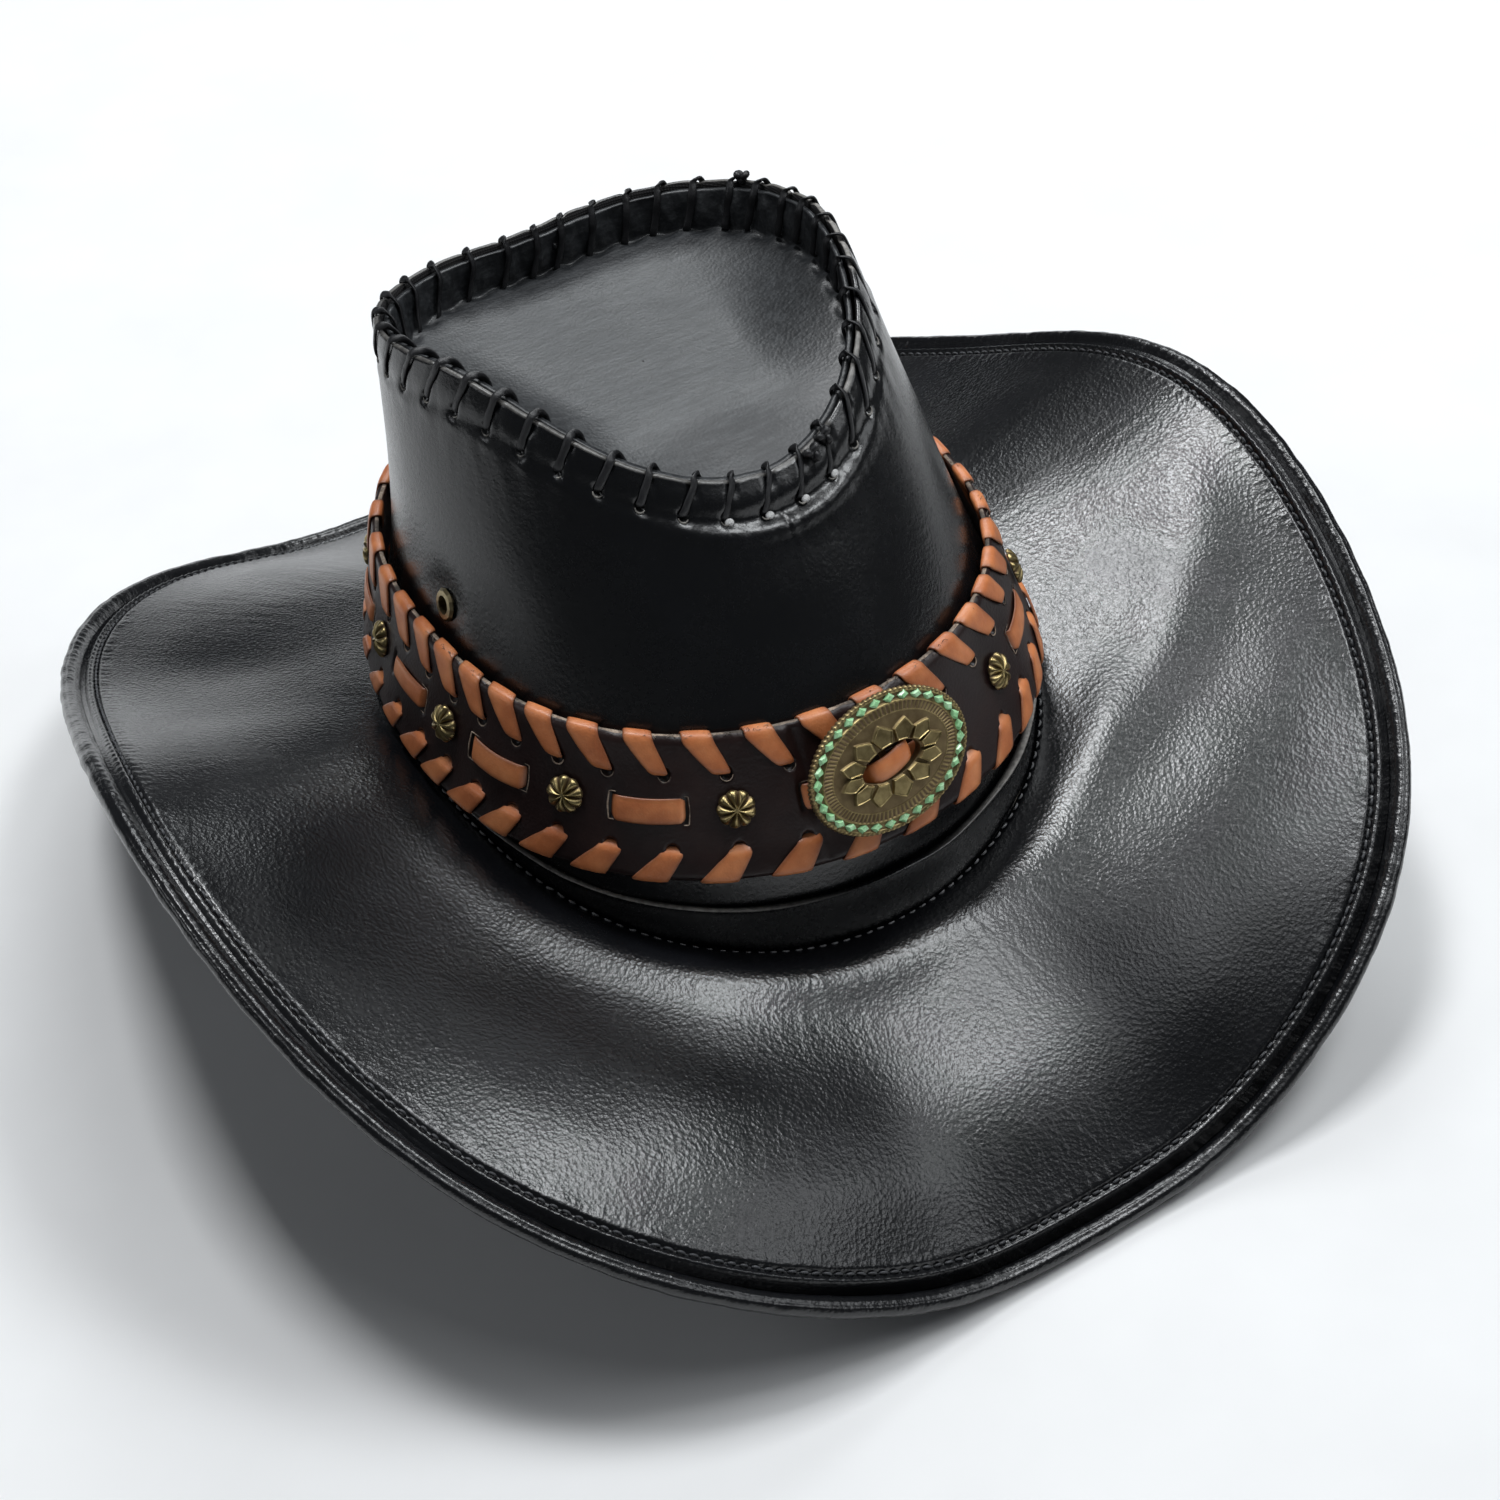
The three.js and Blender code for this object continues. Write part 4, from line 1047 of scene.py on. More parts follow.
def make_hole_rims():
    """Pale raw rims on the lower side of the crown's lace holes."""
    angles = lace_angles()
    share = hole_share(angles)
    along, up, outward = directions(crown_point, angles, share)
    centre = crown_point(angles, share) + outward * -0.15
    turn = np.radians(np.linspace(190, 350, 14))[None, :, None]
    paths = centre[:, None] + 1.25 * (np.cos(turn) * along[:, None] + np.sin(turn) * up[:, None])
    width = 0.26 * np.sin(np.linspace(0.15, math.pi - 0.15, 14)) ** 0.5
    piece = strand_piece("crown_hole_rims", paths, outward[:, None], width, width, CUT_EDGE, 6)
    placed(piece, "hat", "crown_leather")


def make_stuffing():
    """Pale backing that shows in four of the front lace holes."""
    angles = lace_angles()
    chosen = angles[np.argsort(np.abs(turn_from(angles, math.radians(-2))))[:4]]
    share = hole_share(chosen)
    along, up, outward = directions(crown_point, chosen, share)
    centre = crown_point(chosen, share) + along * 0.9 - up * 0.5
    reach = np.array([-0.9, -0.5, -0.2, 0.0, 0.1])
    paths = centre[:, None] + outward[:, None] * reach[None, :, None]
    size = 1.25 * np.array([0.6, 0.95, 1.0, 0.7, 0.2])
    piece = strand_piece("crown_hole_stuffing", paths, up[:, None], size, size * 0.85, STUFFING, 14)
    placed(piece, "hat", "crown_leather")


# ---- Collar, seam and sweatband -----------------------------------------------------------------

COLLAR_OUT = 1.55           # the collar's face stands this far out of the crown's wall
SEAM_STITCHES = 178
SWEATBAND_STITCHES = 170
SWEATBAND_FOOT = 0.03


def share_at_height(angle, height):
    low, high = np.zeros(np.shape(angle)), np.ones(np.shape(angle))
    for _ in range(26):
        middle = (low + high) / 2
        below = crown_point(angle, middle)[..., 2] < height
        low, high = np.where(below, middle, low), np.where(below, high, middle)
    return low


def make_collar():
    """Upright leather strip round the crown's foot, with a raw top edge that curls out."""
    columns = 900
    angle = np.arange(columns) * TAU / columns
    foot = share_at_height(angle, seam_height(angle) - 0.3)
    wavy_top = collar_top(angle) + 0.5 * layers(around(angle, 95.0, 60.0), 22, 111, 2)
    top = share_at_height(angle, wavy_top)
    climb = np.linspace(0, 1, 22)[:, None]
    share = foot + (top - foot) * climb
    face = crown_point(angle[None], share, -COLLAR_OUT)
    wobble = 0.35 * noise(face, 16, 113) - 0.7 * np.exp(-climb * 9) + 0.9 * climb**6
    face = face + outward_of(face) * wobble[..., None]
    lip = crown_point(angle[None], top[None], np.array([-1.7, -1.2, -0.7])[:, None])
    lip = lip + (face[-1] - crown_point(angle, top, -COLLAR_OUT))[None]
    lip[..., 2] += np.array([0.3, 0.42, 0.3])[:, None]
    back = crown_point(angle[None], (foot + (top - foot) * np.linspace(1, 0, 8)[:, None]), -0.4)
    points = np.concatenate([face, lip, back])
    raw = np.zeros(points.shape[:2])
    shown = np.maximum(bell(turn_from(angle, math.radians(-42)), 0, 0.42),
                       bell(turn_from(angle, 0.72), 0, 0.42))
    raw[len(face):len(face) + 3] = np.clip(1.3 * shown - 0.15, 0, 0.9)
    piece = sheet_piece("crown_collar_leather", points, [CROWN_LEATHER], raw=raw)
    placed(piece, "hat", "crown_leather", "crown_collar")


def make_seam_stitches():
    """Short pale stitches that sew the collar to the brim."""
    line = lambda a: around(a, foot_radius(a) + 1.6, seam_height(a) + 0.5)
    angle = even_angles(line, SEAM_STITCHES, 0.5)
    along = unit(line(angle + 0.004) - line(angle - 0.004))
    up = unit(np.stack([np.sin(angle), -np.cos(angle), 0.9 + 0 * angle], -1))
    piece = stitches("crown_seam_stitches", line(angle), along, up, 2.3, 0.62, 0.3, 0.35, PALE_THREAD, 121)
    placed(piece, "hat", "crown_leather")


def make_sweatband():
    columns = 480
    angle = np.arange(columns)[None, :] * TAU / columns
    share = np.linspace(SWEATBAND_FOOT, SWEATBAND_TOP, 34)[:, None]
    gap = WALL + LAYER_GAP
    outer = crown_point(angle, share, gap)
    inner_share = share[::-1]
    inner = crown_point(angle, inner_share, gap + 1.1)
    climb = (inner_share - SWEATBAND_FOOT) / (SWEATBAND_TOP - SWEATBAND_FOOT)
    wave = 0.35 * noise(inner, 18, 131) * np.sin(math.pi * climb)
    inner = inner + outward_of(inner) * wave[..., None]
    piece = sheet_piece("sweatband_leather", np.concatenate([outer, inner]), [SWEATBAND_LEATHER])
    placed(piece, "hat", "sweatband", "sweatband")
    line = lambda a: crown_point(a, 0.045, gap + 1.2)
    stitch_angle = even_angles(line, SWEATBAND_STITCHES, 0.5)
    along = unit(line(stitch_angle + 0.004) - line(stitch_angle - 0.004))
    inward = -directions(crown_point, stitch_angle, 0.045)[2]
    sewn = stitches("sweatband_stitches", line(stitch_angle), along, inward, 2.4, 0.6, 0.3, 0.3, THREAD, 133)
    placed(sewn, "hat", "sweatband")


# ---- Hat band -----------------------------------------------------------------------------------

EDGE_STITCHES = 38
EDGE_START = -0.335        # first stitch from the front, radians
BOTTOM_SHIFT = 0.04        # the lower stitches sit this much further round than the upper ones
TOP_HOLE = 8.6             # lace holes below the strap's upper edge
BOTTOM_HOLE = 7.2          # and above its lower edge
TOP_HOLE_SIDE = 7.2        # beside the middle of their stitch
BOTTOM_HOLE_SIDE = 5.2
HOLE_RADIUS = 1.75
DASH_HALF = 9.4
DASH_HEIGHT = 6.0
CREASE = math.radians(-12.6)


def band_arc(angle):
    """Length along the strap for one radian, mm."""
    return 0.5 * (band_bottom_radius(angle) + band_top_radius(angle))


def edge_angles():
    """Places of the edge stitches, wider apart at the front than at the sides."""
    even = EDGE_START + np.arange(EDGE_STITCHES) * TAU / EDGE_STITCHES
    return even + 0.045 * np.sin(3 * (even + 0.262))


def dash_angles():
    """Places of the centre lace's stitches; the two next to the big concho lie under it."""
    angles = (np.arange(STATION_COUNT) + 0.5) * PITCH + STATION_SHIFT
    angles[0] -= 0.165
    angles[-1] += 0.045
    return angles


def strap_relief(angle, height):
    """Relief of the strap's outer face and its mask of painted shade in the holes and slots; height is mm
    above the lower edge.
    """
    relief = 0.35 * layers(points_at(angle * STRAP_RADIUS, height, 0), (26, 20, 1), 141, 2)
    hole = np.zeros(relief.shape)
    for centre in edge_angles():
        across = turn_from(angle, centre) * band_arc(angle)
        below = across - BOTTOM_SHIFT * band_arc(angle)
        for x, y in ((across - TOP_HOLE_SIDE, height - BAND_HEIGHT + TOP_HOLE),
                     (below - BOTTOM_HOLE_SIDE, height - BOTTOM_HOLE)):
            far = np.hypot(x, y) / HOLE_RADIUS
            # painted shade in each lace hole
            hole = np.maximum(hole, 1 - step_up(far, 0.75, 1.0))
            relief = relief - 1.2 * (1 - step_up(far, 0.6, 1.15))
        pressed = bell(height, 33, 5) + bell(height, 1, 4)
        relief = relief + 0.25 * bell(across, 0.5, 5.5) * pressed
    for i, centre in enumerate(dash_angles()):
        across = turn_from(angle, centre) * band_arc(angle)
        for side in (-1, 1):
            x = side * (DASH_HALF + 0.1)
            far = np.hypot((across - x) / 0.8, np.maximum(np.abs(height - BAND_MIDDLE) - 2.6, 0) / 0.8)
            # painted shade in the centre lace's slots
            hole = np.maximum(hole, np.exp(-far**4))
            relief = relief - 0.8 * np.exp(-far**2)
        relief = relief + 0.25 * np.exp(-((across / 13) ** 4)) * bell(height, BAND_MIDDLE, 7)
        seat = np.hypot(turn_from(angle, i * PITCH + STATION_SHIFT) * band_arc(angle), height - BAND_MIDDLE)
        relief = relief - 0.35 * bell(seat, 0, 6.5)
    crease = turn_from(angle, CREASE) * STRAP_RADIUS + 0.12 * (height - BAND_MIDDLE)
    relief = relief - 0.55 * bell(crease, 0, 1.5) + 0.55 * bell(crease, -3.2, 2.2)
    return relief, hole


def make_strap():
    columns = 1500
    angle = np.arange(columns)[None, :] * TAU / columns
    height = np.concatenate([np.linspace(0, 4.6, 6), np.linspace(5.0, 9.4, 11), np.linspace(10.4, 13.2, 4),
                             np.linspace(13.9, 20.1, 9), np.linspace(20.9, 22.9, 3),
                             np.linspace(23.3, 27.6, 11), np.linspace(28.8, 34, 7)])
    share = height[:, None] / BAND_HEIGHT
    flat_angle, flat_share = np.broadcast_arrays(angle, share)
    relief, hole = strap_relief(flat_angle, flat_share * BAND_HEIGHT)
    border = np.minimum(step_up(flat_share, 0, 0.03), step_up(1 - flat_share, 0, 0.03))
    outer = band_point(angle, share)
    outer = outer + outward_of(outer) * (relief * border - 0.25 * (1 - border))[..., None]
    fray = 0.25 * layers(around(angle, STRAP_RADIUS, 0.0), 3.0, 151, 2)
    top = [band_point(angle, 1, out, rise) for out, rise in ((-0.9, 0.12), (-1.2, 0.18), (-1.5, 0.12))]
    inner = band_point(angle, np.linspace(1, 0, 9)[:, None], -STRAP)
    bottom = [band_point(angle, 0, out, rise) for out, rise in ((-1.5, -0.12), (-1.2, -0.18), (-0.9, -0.12))]
    top, bottom = np.concatenate(top), np.concatenate(bottom)
    top[..., 2] += fray
    points = np.concatenate([outer, top, inner, bottom])
    rows = np.zeros(len(points), int)
    rows[len(outer):len(outer) + 3] = 1
    rows[len(outer) + 3:len(outer) + 3 + len(inner) - 1] = 2
    rows[len(outer) + 2 + len(inner):-1] = 1
    # painted shade of the holes and slots, on the outer face only
    hole_shade_mask = np.zeros(points.shape[:2])
    hole_shade_mask[:len(outer)] = hole
    piece = sheet_piece("band_strap_leather", points, [STRAP_LEATHER, STRAP_EDGE, SUEDE],
                        row_material=rows, hole=hole_shade_mask)
    placed(piece, "hat_band", "strap_leather", "band_strap")


def lace_patches(name, keys, edge_share, upward, centres, node, seed, steps=40):
    """Flat lace strips. keys are rows of (left, right, height over the edge, out); left and right are
    the strip's borders along the strap in mm."""
    rng = np.random.default_rng(seed)
    section = flat_section(18)
    points, borders, holes = [], [], []
    for centre in centres:
        row = np.array(keys, float)
        row[:, :2] += rng.normal(0, 0.22, 2)
        row[:, :2] *= rng.uniform(0.93, 1.05)
        curve = through(row, steps)
        left, right, height, out = (curve[:, i:i + 1] for i in range(4))
        arc = band_arc(centre)
        across = section[None, :, 0]
        along = (left + right) / 2 + (right - left) / 2 * across
        crown = 0.16 * (1 - across**2)
        sag = rng.normal(0, 0.12) * across
        share = edge_share + upward * height / BAND_HEIGHT
        middle = band_point(centre + along / arc, share, out)
        rise, out_way = np.gradient(height[:, 0]) * upward, np.gradient(out[:, 0])
        size = np.hypot(rise, out_way)
        radial = around(centre + along / arc, 1.0, 0.0)
        upright = np.array([0, 0, 1.0]) * (-out_way / size)[:, None, None]
        face = ((rise / size)[:, None, None] * radial + upright) * upward
        lift = section[None, :, 1] * 0.34 + crown + sag * 0.6
        points.append(middle + face * lift[..., None])
        # painted shade masks: border darkens the strip's edges, hole makes its end in the hole near-black
        borders.append(np.broadcast_to(np.abs(across) ** 5, along.shape))
        depth = step_up(np.linspace(0, 1, steps), 0.0, 0.07)[:, None]
        holes.append(np.broadcast_to(1 - depth, along.shape))
    masks = {"border": np.ravel(borders), "hole": np.ravel(holes)}
    faces = tube_faces(len(points), steps, len(section), reverse=False)
    piece = new_piece(name, np.stack(points), faces, [TAN_LACE], masks=masks)
    placed(piece, "hat_band", "tan_lace", node)


def make_edge_laces():
    top = [  # left, right, height over the upper edge, out of the strap's face
        (5.6, 8.0, -9.2, -1.7), (4.6, 8.5, -8.7, -0.8), (3.6, 8.7, -8.1, 0.15), (2.6, 8.5, -7.2, 0.5),
        (1.2, 7.9, -5.9, 0.56), (-0.6, 7.0, -4.2, 0.58), (-2.6, 5.8, -2.2, 0.54), (-4.2, 4.9, -0.6, 0.45),
        (-4.6, 4.5, 0.38, 0.0), (-4.8, 4.2, 0.55, -1.0), (-5.1, 3.8, 0.38, -2.1), (-5.6, 3.2, -0.7, -2.55),
        (-6.4, 2.1, -3.0, -2.6), (-7.0, 0.4, -5.6, -2.6), (-7.2, -2.0, -8.0, -2.6), (-6.8, -4.2, -9.2, -2.0),
    ]
    lace_patches("band_top_laces", top, 1.0, 1, edge_angles(), "band_top_lace", 161)
    bottom = [
        (4.4, 7.0, -7.6, -1.7), (3.0, 7.8, -7.1, -0.8), (2.0, 8.1, -6.5, 0.15), (1.0, 7.8, -5.7, 0.5),
        (-0.6, 7.0, -4.4, 0.55), (-2.4, 6.0, -2.7, 0.54), (-4.0, 5.0, -1.1, 0.48), (-4.7, 4.5, -0.2, 0.3),
        (-4.9, 4.3, 0.38, -0.2), (-5.1, 4.0, 0.55, -1.0), (-5.4, 3.7, 0.38, -2.1), (-5.8, 3.2, -0.7, -2.55),
        (-6.2, 2.2, -3.0, -2.6), (-6.2, 0.8, -5.0, -2.6), (-6.0, -0.8, -6.6, -2.6), (-5.6, -2.2, -7.6, -2.0),
    ]
    lace_patches("band_bottom_laces", bottom, 0.0, -1, edge_angles() + BOTTOM_SHIFT, "band_bottom_lace", 163)


def make_slot_rims():
    """Pale raw leather on the lower side of the upper holes and round the centre lace's slots."""
    rng = np.random.default_rng(181)
    paths, widths = [], []
    turn = np.radians(np.linspace(195, 350, 24))
    for centre in edge_angles():
        arc = band_arc(centre)
        x = TOP_HOLE_SIDE + HOLE_RADIUS * np.cos(turn)
        y = BAND_HEIGHT - TOP_HOLE + HOLE_RADIUS * np.sin(turn)
        paths.append(band_point(centre + x / arc, y / BAND_HEIGHT, 0.02))
        widths.append(rng.uniform(0.14, 0.26) * np.sin(np.linspace(0.15, math.pi - 0.15, 24)) ** 0.6)
    for centre in dash_angles():
        arc = band_arc(centre)
        for side in (-1, 1):
            x = np.interp(np.linspace(0, 1, 24), [0, 0.3, 0.5, 0.7, 1], [-2.6, 0.8, 1.2, 0.8, -2.6])
            y = np.interp(np.linspace(0, 1, 24), [0, 0.3, 0.7, 1], [3.55, 3.45, -3.45, -3.55])
            place = centre + side * (DASH_HALF + x) / arc
            paths.append(band_point(place, 0.5 + y / BAND_HEIGHT, 0.05))
            strength = rng.uniform(0.10, 0.24)
            widths.append(strength * (0.55 + 0.45 * np.sin(np.linspace(0, math.pi, 24))))
    paths = np.stack(paths)
    radial = unit(paths * np.array([1, 1, 0]))
    widths = np.stack(widths)
    piece = strand_piece("band_slot_rims", paths, radial, widths, widths * 0.8, STRAP_EDGE, 6)
    placed(piece, "hat_band", "strap_leather")


def make_frayed_fibres():
    """Loose fibres and thread ends along the strap's upper edge."""
    rng = np.random.default_rng(191)
    paths = []
    for _ in range(130):
        angle = rng.choice([-0.44, 0.28, 1.2, -1.5, 2.4]) + rng.normal(0, 0.13)
        reach = rng.uniform(1.0, 3.6)
        drift = rng.normal(0, 1.4)
        rise = rng.uniform(0.3, 1.6)
        t = np.linspace(0, 1, 10)
        bend = rng.normal(0, 0.5)
        x = drift * t + bend * np.sin(math.pi * t)
        base = band_point(angle + x / STRAP_RADIUS, 1.0, rng.uniform(-1.6, -0.3) + reach * 0.35 * t)
        base[:, 2] += rise * np.sin(t * math.pi * rng.uniform(0.5, 0.95))
        paths.append(base)
    paths = np.stack(paths)
    width = np.linspace(0.09, 0.04, 10)[None, :] + 0 * paths[..., 0]
    piece = strand_piece("band_frayed_fibres", paths, unit(paths * np.array([1, 1, 0])), width, width,
                         STRAP_EDGE, 5)
    placed(piece, "hat_band", "strap_leather")


def make_dashes():
    """Bowed stitches of the centre lace between the conchos."""
    rng = np.random.default_rng(171)
    section = flat_section(18)
    steps = 40
    x = np.linspace(-DASH_HALF - 0.9, DASH_HALF + 0.9, steps)
    points, borders, holes = [], [], []
    for centre in dash_angles():
        arc = band_arc(centre)
        inside = step_up(DASH_HALF + 0.9 - np.abs(x), 0, 2.4)
        out = -1.5 + 1.75 * inside + 0.55 * np.cos(x / DASH_HALF * math.pi / 2)
        half = DASH_HEIGHT / 2 * (0.86 + 0.14 * inside) * rng.uniform(0.94, 1.04)
        tilt = rng.normal(0, 0.018)
        bow = rng.normal(0, 0.25) * (1 - (x / DASH_HALF) ** 2)
        across = section[None, :, 0]
        height = BAND_MIDDLE + across * half[:, None] + (tilt * x + bow)[:, None]
        lift = 0.4 * section[None, :, 1] + 0.18 * (1 - across**2)
        angle = centre + x[:, None] / arc + 0 * across
        points.append(band_point(angle, height / BAND_HEIGHT, out[:, None] + lift))
        # painted shade masks: border darkens the stitch's edges, hole makes its ends in the slots near-black
        borders.append(np.broadcast_to(np.abs(across) ** 5, height.shape))
        depth = step_up(DASH_HALF + 0.9 - np.abs(x), 0.4, 1.5)[:, None]
        holes.append(np.broadcast_to(1 - depth, height.shape))
    masks = {"border": np.ravel(borders), "hole": np.ravel(holes)}
    faces = tube_faces(STATION_COUNT, steps, len(section))
    piece = new_piece("band_centre_stitches", np.stack(points), faces, [TAN_LACE], masks=masks)
    placed(piece, "hat_band", "tan_lace", "band_centre_lace")


def polar_piece(name, points, material, masks):
    """A closed piece whose rows run from the middle of its face, over its rim, to the middle of its back."""
    return new_piece(name, points, tube_faces(1, *points.shape[:2]), [material], masks=masks)


def make_small_conchos():
    """Fluted brass buttons."""
    radius, tall, lobes = 5.05, 2.5, 9
    turn = np.arange(144)[None, :] * TAU / 144
    out = np.concatenate([np.linspace(0.02, 1, 22), [1.0, 0.93, 0.5, 0.05]])[:, None]
    petal = np.abs(np.sin(lobes * turn / 2)) ** 0.7
    dome = np.sqrt(np.clip(1 - (out * 0.985) ** 2, 0, 1)) ** 0.75
    face_rows = 22
    shape = (0.30 + 0.70 * petal) * step_up(out, 0.05, 0.45) + (1 - step_up(out, 0.05, 0.45)) * 0.85
    height = tall * dome * shape
    height = np.where(np.arange(len(out))[:, None] < face_rows, height, np.array([[0.15]]))
    height[face_rows] = 0.12
    height[face_rows + 1:] = 0.0
    reach = radius * out * (0.90 + 0.10 * petal)
    hollow = np.clip(1.15 - petal * 1.3, 0, 1) * step_up(out, 0.1, 0.4) + 0 * height
    hollow[face_rows:] = 0.9
    for i in range(1, STATION_COUNT):
        place = np.array([i * PITCH + STATION_SHIFT])
        centre, along, up, outward = (v.reshape(3) for v in band_frame(place))
        spin = i * 0.7
        local = np.stack([reach * np.cos(turn + spin), reach * np.sin(turn + spin), height], -1)
        seat = centre + outward * 0.15
        points = seat + local[..., :1] * along + local[..., 1:2] * up + local[..., 2:] * outward
        piece = polar_piece(f"concho_button_{i:02d}", points[:, ::-1], BRASS, {"hollow": hollow[:, ::-1]})
        placed(piece, "hat_band", "antique_brass", f"concho_{i:02d}")


# ---- Big concho ---------------------------------------------------------------------------------

BIG_LONG, BIG_SHORT = 24.0, 17.4
SLOT_LONG, SLOT_SHORT = 9.2, 4.2
BIG_TILT = math.radians(6.5)
BIG_STANDOFF = 4.2
BIG_RISE = 3.2              # its centre stands this far above the strap's middle
BIG_THICK, BIG_DOME = 1.6, 1.0
STONES = 32
PETALS = 12


def big_frame():
    centre, along, up, outward = (v.reshape(3) for v in band_frame(np.array([0.0])))
    turned = along * math.cos(BIG_TILT) + up * math.sin(BIG_TILT)
    return centre + outward * BIG_STANDOFF + up * BIG_RISE, turned, np.cross(outward, turned), outward


def on_concho(local):
    centre, along, up, outward = big_frame()
    return centre + local[..., :1] * along + local[..., 1:2] * up + local[..., 2:] * outward


def oval(turn, share, height):
    long = SLOT_LONG + (BIG_LONG - SLOT_LONG) * share
    short = SLOT_SHORT + (BIG_SHORT - SLOT_SHORT) * share
    return points_at(long * np.sin(turn), -short * np.cos(turn), height)


def concho_face(share):
    return BIG_THICK + BIG_DOME * (1 - share**2)


def concho_relief(turn, share):
    """Relief of the big concho's face and how hollow it is."""
    beads = 0.5 + 0.5 * np.cos(96 * turn)
    rim = step_up(share, 0.95, 0.965)
    channel = step_up(share, 0.785, 0.80) * (1 - step_up(share, 0.925, 0.94))
    ray = 0.5 + 0.5 * np.cos(92 * turn)
    rays = step_up(share, 0.575, 0.60) * (1 - step_up(share, 0.735, 0.755))
    rope = bell(share, 0.77, 0.012) + bell(share, 0.94, 0.008)
    cell = (turn * PETALS / TAU + 0.5) % 1 * 2 - 1
    half = np.interp(share, [0.02, 0.27, 0.47], [0.70, 0.98, 0.0])
    inner = np.minimum(half - np.abs(cell), (share - 0.015) * 5)
    petal = step_up(inner, 0.0, 0.06)
    border = petal * (1 - step_up(inner, 0.10, 0.22))
    ground = (1 - petal) * (1 - step_up(share, 0.565, 0.58))
    relief = (
        0.30 * rim * (0.35 + 0.65 * beads) - 0.40 * channel - 0.22 * rays * (1 - ray) + 0.15 * rope
        + 0.75 * petal + 0.30 * border - 0.15 * ground
    )
    hollow = (
        0.55 * channel + 0.65 * rays * (1 - ray) + 0.25 * rays + 0.6 * rim * (1 - beads)
        + 0.62 * ground + petal * (1 - border) * 0.12 + 0.35 * bell(share, 0.765, 0.03)
    )
    return relief, np.clip(hollow - 0.3 * rope, 0, 1)


def make_big_concho():
    columns = 960
    turn = np.arange(columns)[None, :] * TAU / columns
    share = np.linspace(0, 1, 84)[:, None]
    flat_turn, flat_share = np.broadcast_arrays(turn, share)
    relief, hollow = concho_relief(flat_turn, flat_share)
    face = oval(turn, share, concho_face(share) + relief)
    scallop = 0.012 * np.cos(96 * turn)
    side = [oval(turn, 1.0 + grow + scallop, high)
            for grow, high in ((0.012, 1.2), (0.015, 0.7), (0.0, 0.1))]
    back = [oval(turn, s, 0.0) for s in (0.97, 0.4, 0.0)]
    hole = [oval(turn, 0.0, high) for high in (0.6, 1.6, 2.3)]
    points = np.concatenate([face, *side, *back, *hole])
    dark = np.full(points.shape[:2], 0.55)
    dark[:len(face)] = hollow
    faces = grid_faces(*points.shape[:2], wrap_rows=True)
    piece = new_piece("concho_plate", on_concho(points), [faces], [BRASS], masks={"hollow": dark})
    piece.data.flip_normals()
    placed(piece, "concho", "antique_brass", "centre_concho")


def make_stones():
    """Faceted diamond-shaped inlays in the concho's channel."""
    vertices, faces = [], []
    share = 0.862
    for i in range(STONES):
        turn = (i + 0.5) * TAU / STONES
        centre = oval(np.array(turn), share, concho_face(share) - 0.30)
        radial = unit(oval(np.array(turn), share + 0.05, 0.0) - oval(np.array(turn), share, 0.0))
        tangent = unit(oval(np.array(turn + 0.02), share, 0.0) - oval(np.array(turn - 0.02), share, 0.0))
        base, top = [], []
        for x, y in ((1, 0), (0, 1), (-1, 0), (0, -1)):
            base.append(centre + tangent * 1.75 * x + radial * 1.6 * y)
            top.append(centre + tangent * 0.85 * x + radial * 0.75 * y + np.array([0, 0, 0.85]))
        start = len(vertices)
        vertices += base + top
        for k in range(4):
            j = (k + 1) % 4
            faces.append([start + k, start + j, start + 4 + j, start + 4 + k])
        faces.append([start + 4, start + 5, start + 6, start + 7])
        faces.append([start + 3, start + 2, start + 1, start])
    piece = new_piece("concho_stones", on_concho(np.array(vertices)), [np.array(faces)], [GREEN],
                      smooth=False)
    placed(piece, "concho", "green_inlay", "concho_inlay")


def make_concho_lace():
    """Lace that bulges out of the slot, over the crossbar."""
    keys = [(-6.4, -0.9, -2.4), (-6.1, -0.9, 0.2), (-4.6, -0.8, 2.1), (0, -0.3, 2.8), (4.6, 0.5, 2.2),
            (6.1, 0.7, 0.2), (6.4, 0.7, -2.4)]
    steps = 44
    path = through(keys, steps)
    section = flat_section(20, 0.55)
    place = np.linspace(-1, 1, steps)
    half = 3.0 * (1 - 0.10 * place**2)
    forward = unit(np.gradient(path, axis=0))
    up = unit(np.cross(forward, np.array([0, 1.0, 0])))
    up = np.where(up[:, 2:] < 0, -up, up)
    across = section[:, 0]
    crown = 0.45 * (1 - across**2)
    points = (
        path[:, None]
        + np.array([0, 1.0, 0]) * (across[None, :, None] * half[:, None, None])
        + up[:, None] * (section[None, :, 1:] * 0.5 + crown[None, :, None])
    )
    # painted shade masks: border darkens the loop's edges, hole darkens its ends in the slot
    borders = np.broadcast_to(np.abs(across) ** 5, points.shape[:2])
    holes = np.broadcast_to((np.abs(place) ** 8)[:, None] * 0.6, points.shape[:2])
    piece = polar_piece("concho_lace_loop", on_concho(points), TAN_LACE,
                        {"border": borders, "hole": holes})
    placed(piece, "concho", "tan_lace", "concho_lace")


def make_crossbar():
    x, y, z = 1.0, 6.0, 0.5
    section = flat_section(16, 0.4)
    place = np.linspace(-1, 1, 12)
    round_off = np.sqrt(np.clip(1 - place**8, 0.1, 1))
    points = np.stack([
        section[None, :, 0] * x * round_off[:, None],
        np.broadcast_to(place[:, None] * y, (12, 16)),
        section[None, :, 1] * z * round_off[:, None] - 0.85,
    ], -1)
    hollow = np.full((12, 16), 0.35)
    piece = polar_piece("concho_bar", on_concho(points)[:, ::-1], BRASS, {"hollow": hollow})
    placed(piece, "concho", "antique_brass", "concho_crossbar")


# ---- Build --------------------------------------------------------------------------------------

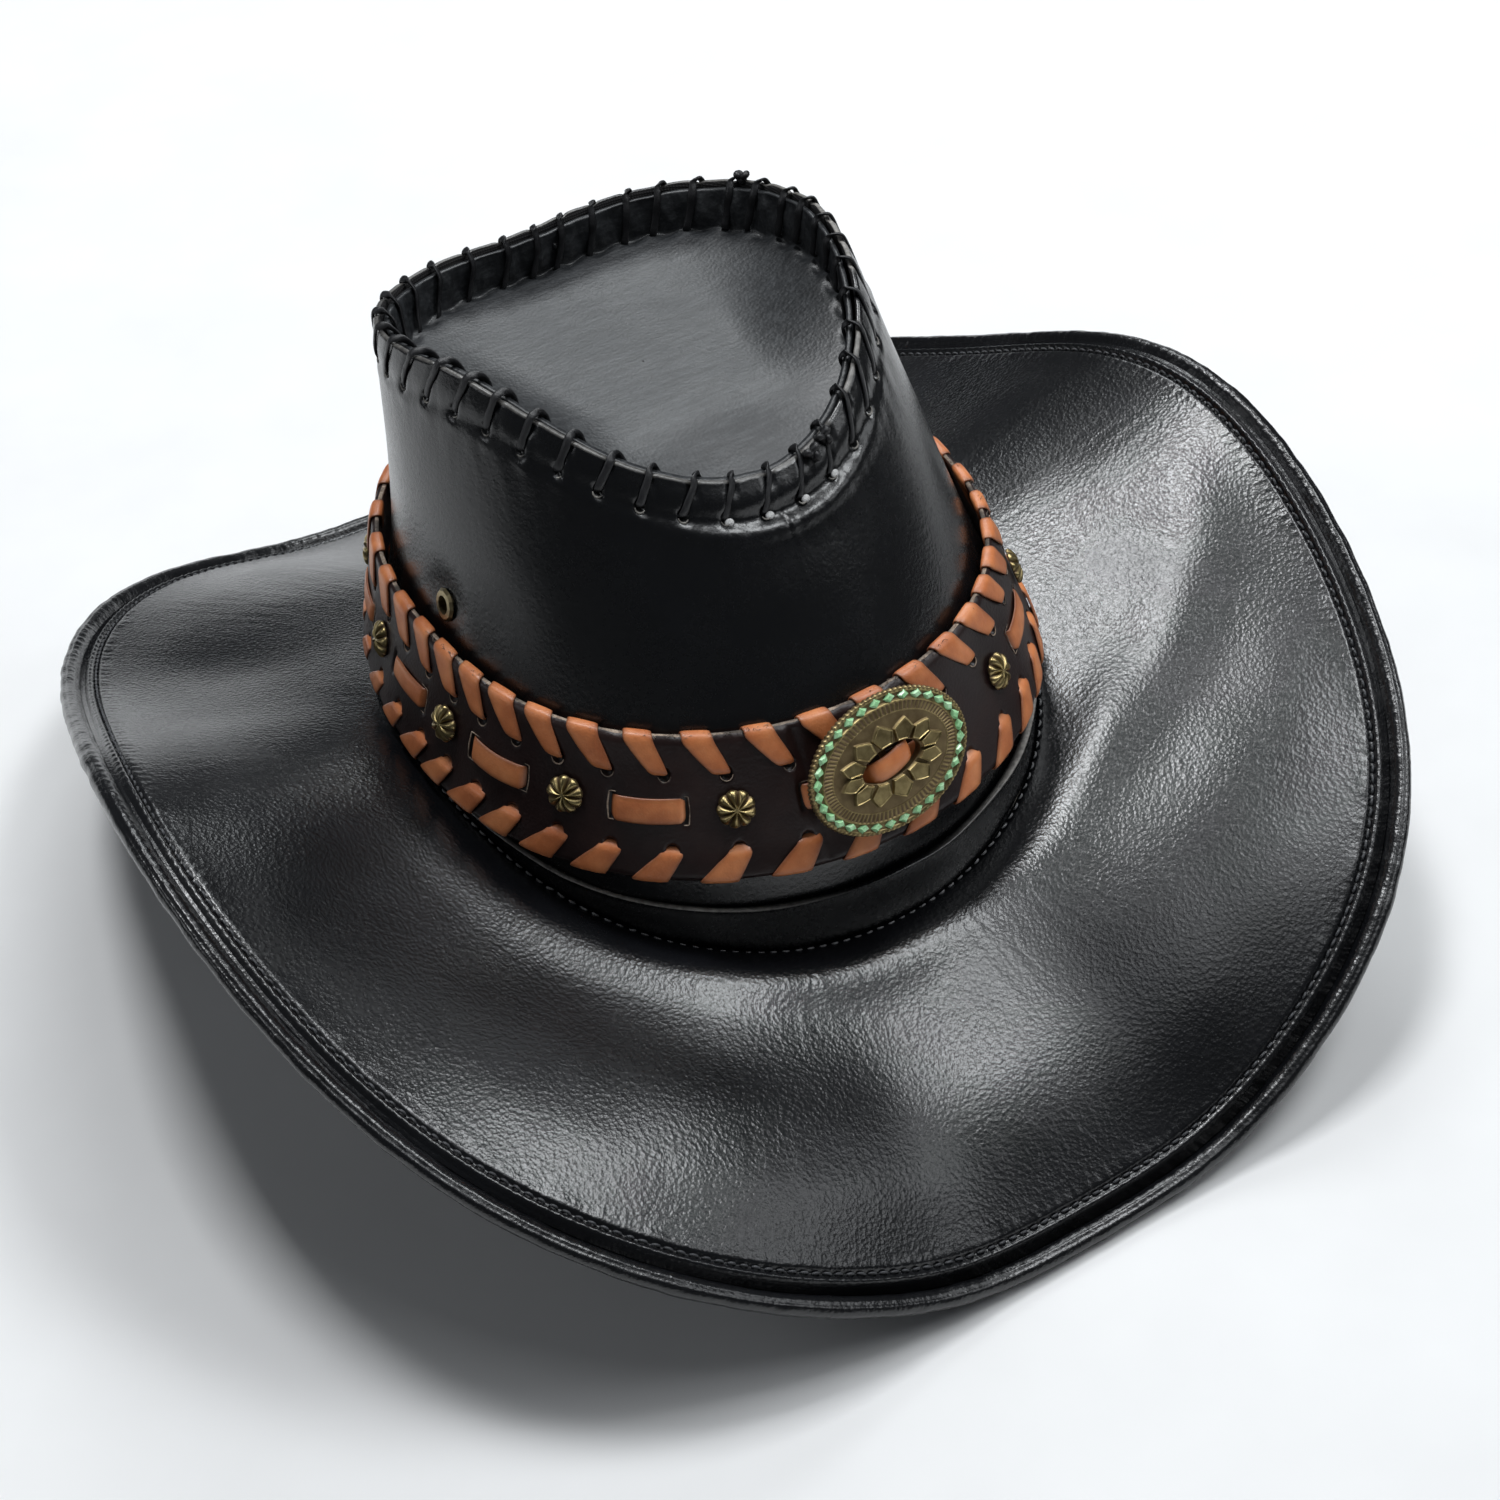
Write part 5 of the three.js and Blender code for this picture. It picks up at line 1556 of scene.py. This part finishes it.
make_brim()
make_brim_underside()
make_brim_roll()
make_hem_stitches()
make_crown()
make_panel()
make_crown_lace()
make_lace_knots()
make_hole_rims()
make_stuffing()
make_collar()
make_seam_stitches()
make_sweatband()
make_strap()
make_edge_laces()
make_dashes()
make_slot_rims()
make_frayed_fibres()
make_small_conchos()
make_big_concho()
make_stones()
make_concho_lace()
make_crossbar()

for node, material in {
    "eyelet_right": EYELET_BRASS, "eyelet_left": EYELET_BRASS,
    "eyelet_washer_right": EYELET_BRASS, "eyelet_washer_left": EYELET_BRASS,
    "brim_interlining": fibre_board("board"), "brim_wire": steel("wire"),
}.items():
    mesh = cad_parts[node].data
    mesh.materials.clear()
    mesh.materials.append(material)


# ---- Camera, floor and light --------------------------------------------------------------------

def make_camera():
    azimuth, elevation, roll = (math.radians(v) for v in (-31.67, 41.83, -2.49))
    target, distance = Vector((0.00572, -0.01944, 0.04144)), 0.80436
    back = Vector((math.sin(azimuth) * math.cos(elevation), -math.cos(azimuth) * math.cos(elevation),
                   math.sin(elevation)))
    right = Vector((math.cos(azimuth), math.sin(azimuth), 0))
    up = back.cross(right)
    turned_right = right * math.cos(roll) + up * math.sin(roll)
    turned_up = back.cross(turned_right)
    data = bpy.data.cameras.new("camera")
    data.sensor_width, data.lens = 36, 68.01
    data.clip_start, data.clip_end = 0.05, 20
    camera = bpy.data.objects.new("camera", data)
    camera.matrix_world = Matrix((
        (turned_right.x, turned_up.x, back.x, target.x + back.x * distance),
        (turned_right.y, turned_up.y, back.y, target.y + back.y * distance),
        (turned_right.z, turned_up.z, back.z, target.z + back.z * distance),
        (0, 0, 0, 1),
    ))
    bpy.context.scene.collection.objects.link(camera)
    bpy.context.scene.camera = camera


def make_floor():
    mesh = bpy.data.meshes.new("floor")
    half = 6.0
    corners = [(-half, -half, 0), (half, -half, 0), (half, half, 0), (-half, half, 0)]
    mesh.from_pydata(corners, [], [(0, 1, 2, 3)])
    mesh.materials.append(plain_floor("floor"))
    floor = bpy.data.objects.new("floor", mesh)
    floor.location.z = -0.0004
    bpy.context.scene.collection.objects.link(floor)


LIGHT_DISTANCE = 3.0
LIGHTS = [  # name, azimuth (0 in front, 90 at the wearer's left), elevation, size, power, colour
    ("key_high", 180, 72, (0.6, 0.8), 44, (0.96, 0.98, 1.0)),
    ("key_low", 147, 42, (1.0, 0.9), 21, (0.94, 0.98, 1.0)),
    ("right_high", 82, 62, (1.1, 0.7), 33, (0.95, 0.98, 1.0)),
    ("front_high", 38, 72, (1.4, 1.0), 9, (0.94, 0.97, 1.0)),
    ("front_low", 58, 38, (1.0, 0.8), 8, (0.94, 0.97, 1.0)),
    ("left_low", -110, 33, (1.2, 0.8), 7, (0.93, 0.96, 1.0)),
]


def soft_light(name, azimuth, elevation, size, power, colour):
    """A soft box that faces the hat."""
    a, e = math.radians(azimuth), math.radians(elevation)
    target = Vector((0, 0, 0.08))
    way = Vector((math.sin(a) * math.cos(e), -math.cos(a) * math.cos(e), math.sin(e)))
    place = target + LIGHT_DISTANCE * way
    data = bpy.data.lights.new(name, "AREA")
    data.shape = "RECTANGLE"
    data.size, data.size_y = size
    data.energy, data.color = power, colour
    light = bpy.data.objects.new(name, data)
    light.location = place
    light.rotation_mode = "QUATERNION"
    light.rotation_quaternion = (place - target).to_track_quat("Z", "Y")
    bpy.context.scene.collection.objects.link(light)


def make_lights():
    for light in LIGHTS:
        soft_light(*light)
    world = bpy.data.worlds.new("studio")
    world.use_nodes = True
    background = world.node_tree.nodes["Background"]
    background.inputs["Color"].default_value = (0.88, 0.94, 1.0, 1)
    background.inputs["Strength"].default_value = 0.06
    bpy.context.scene.world = world
    bpy.context.scene.view_settings.view_transform = "Standard"


make_camera()
make_floor()
make_lights()
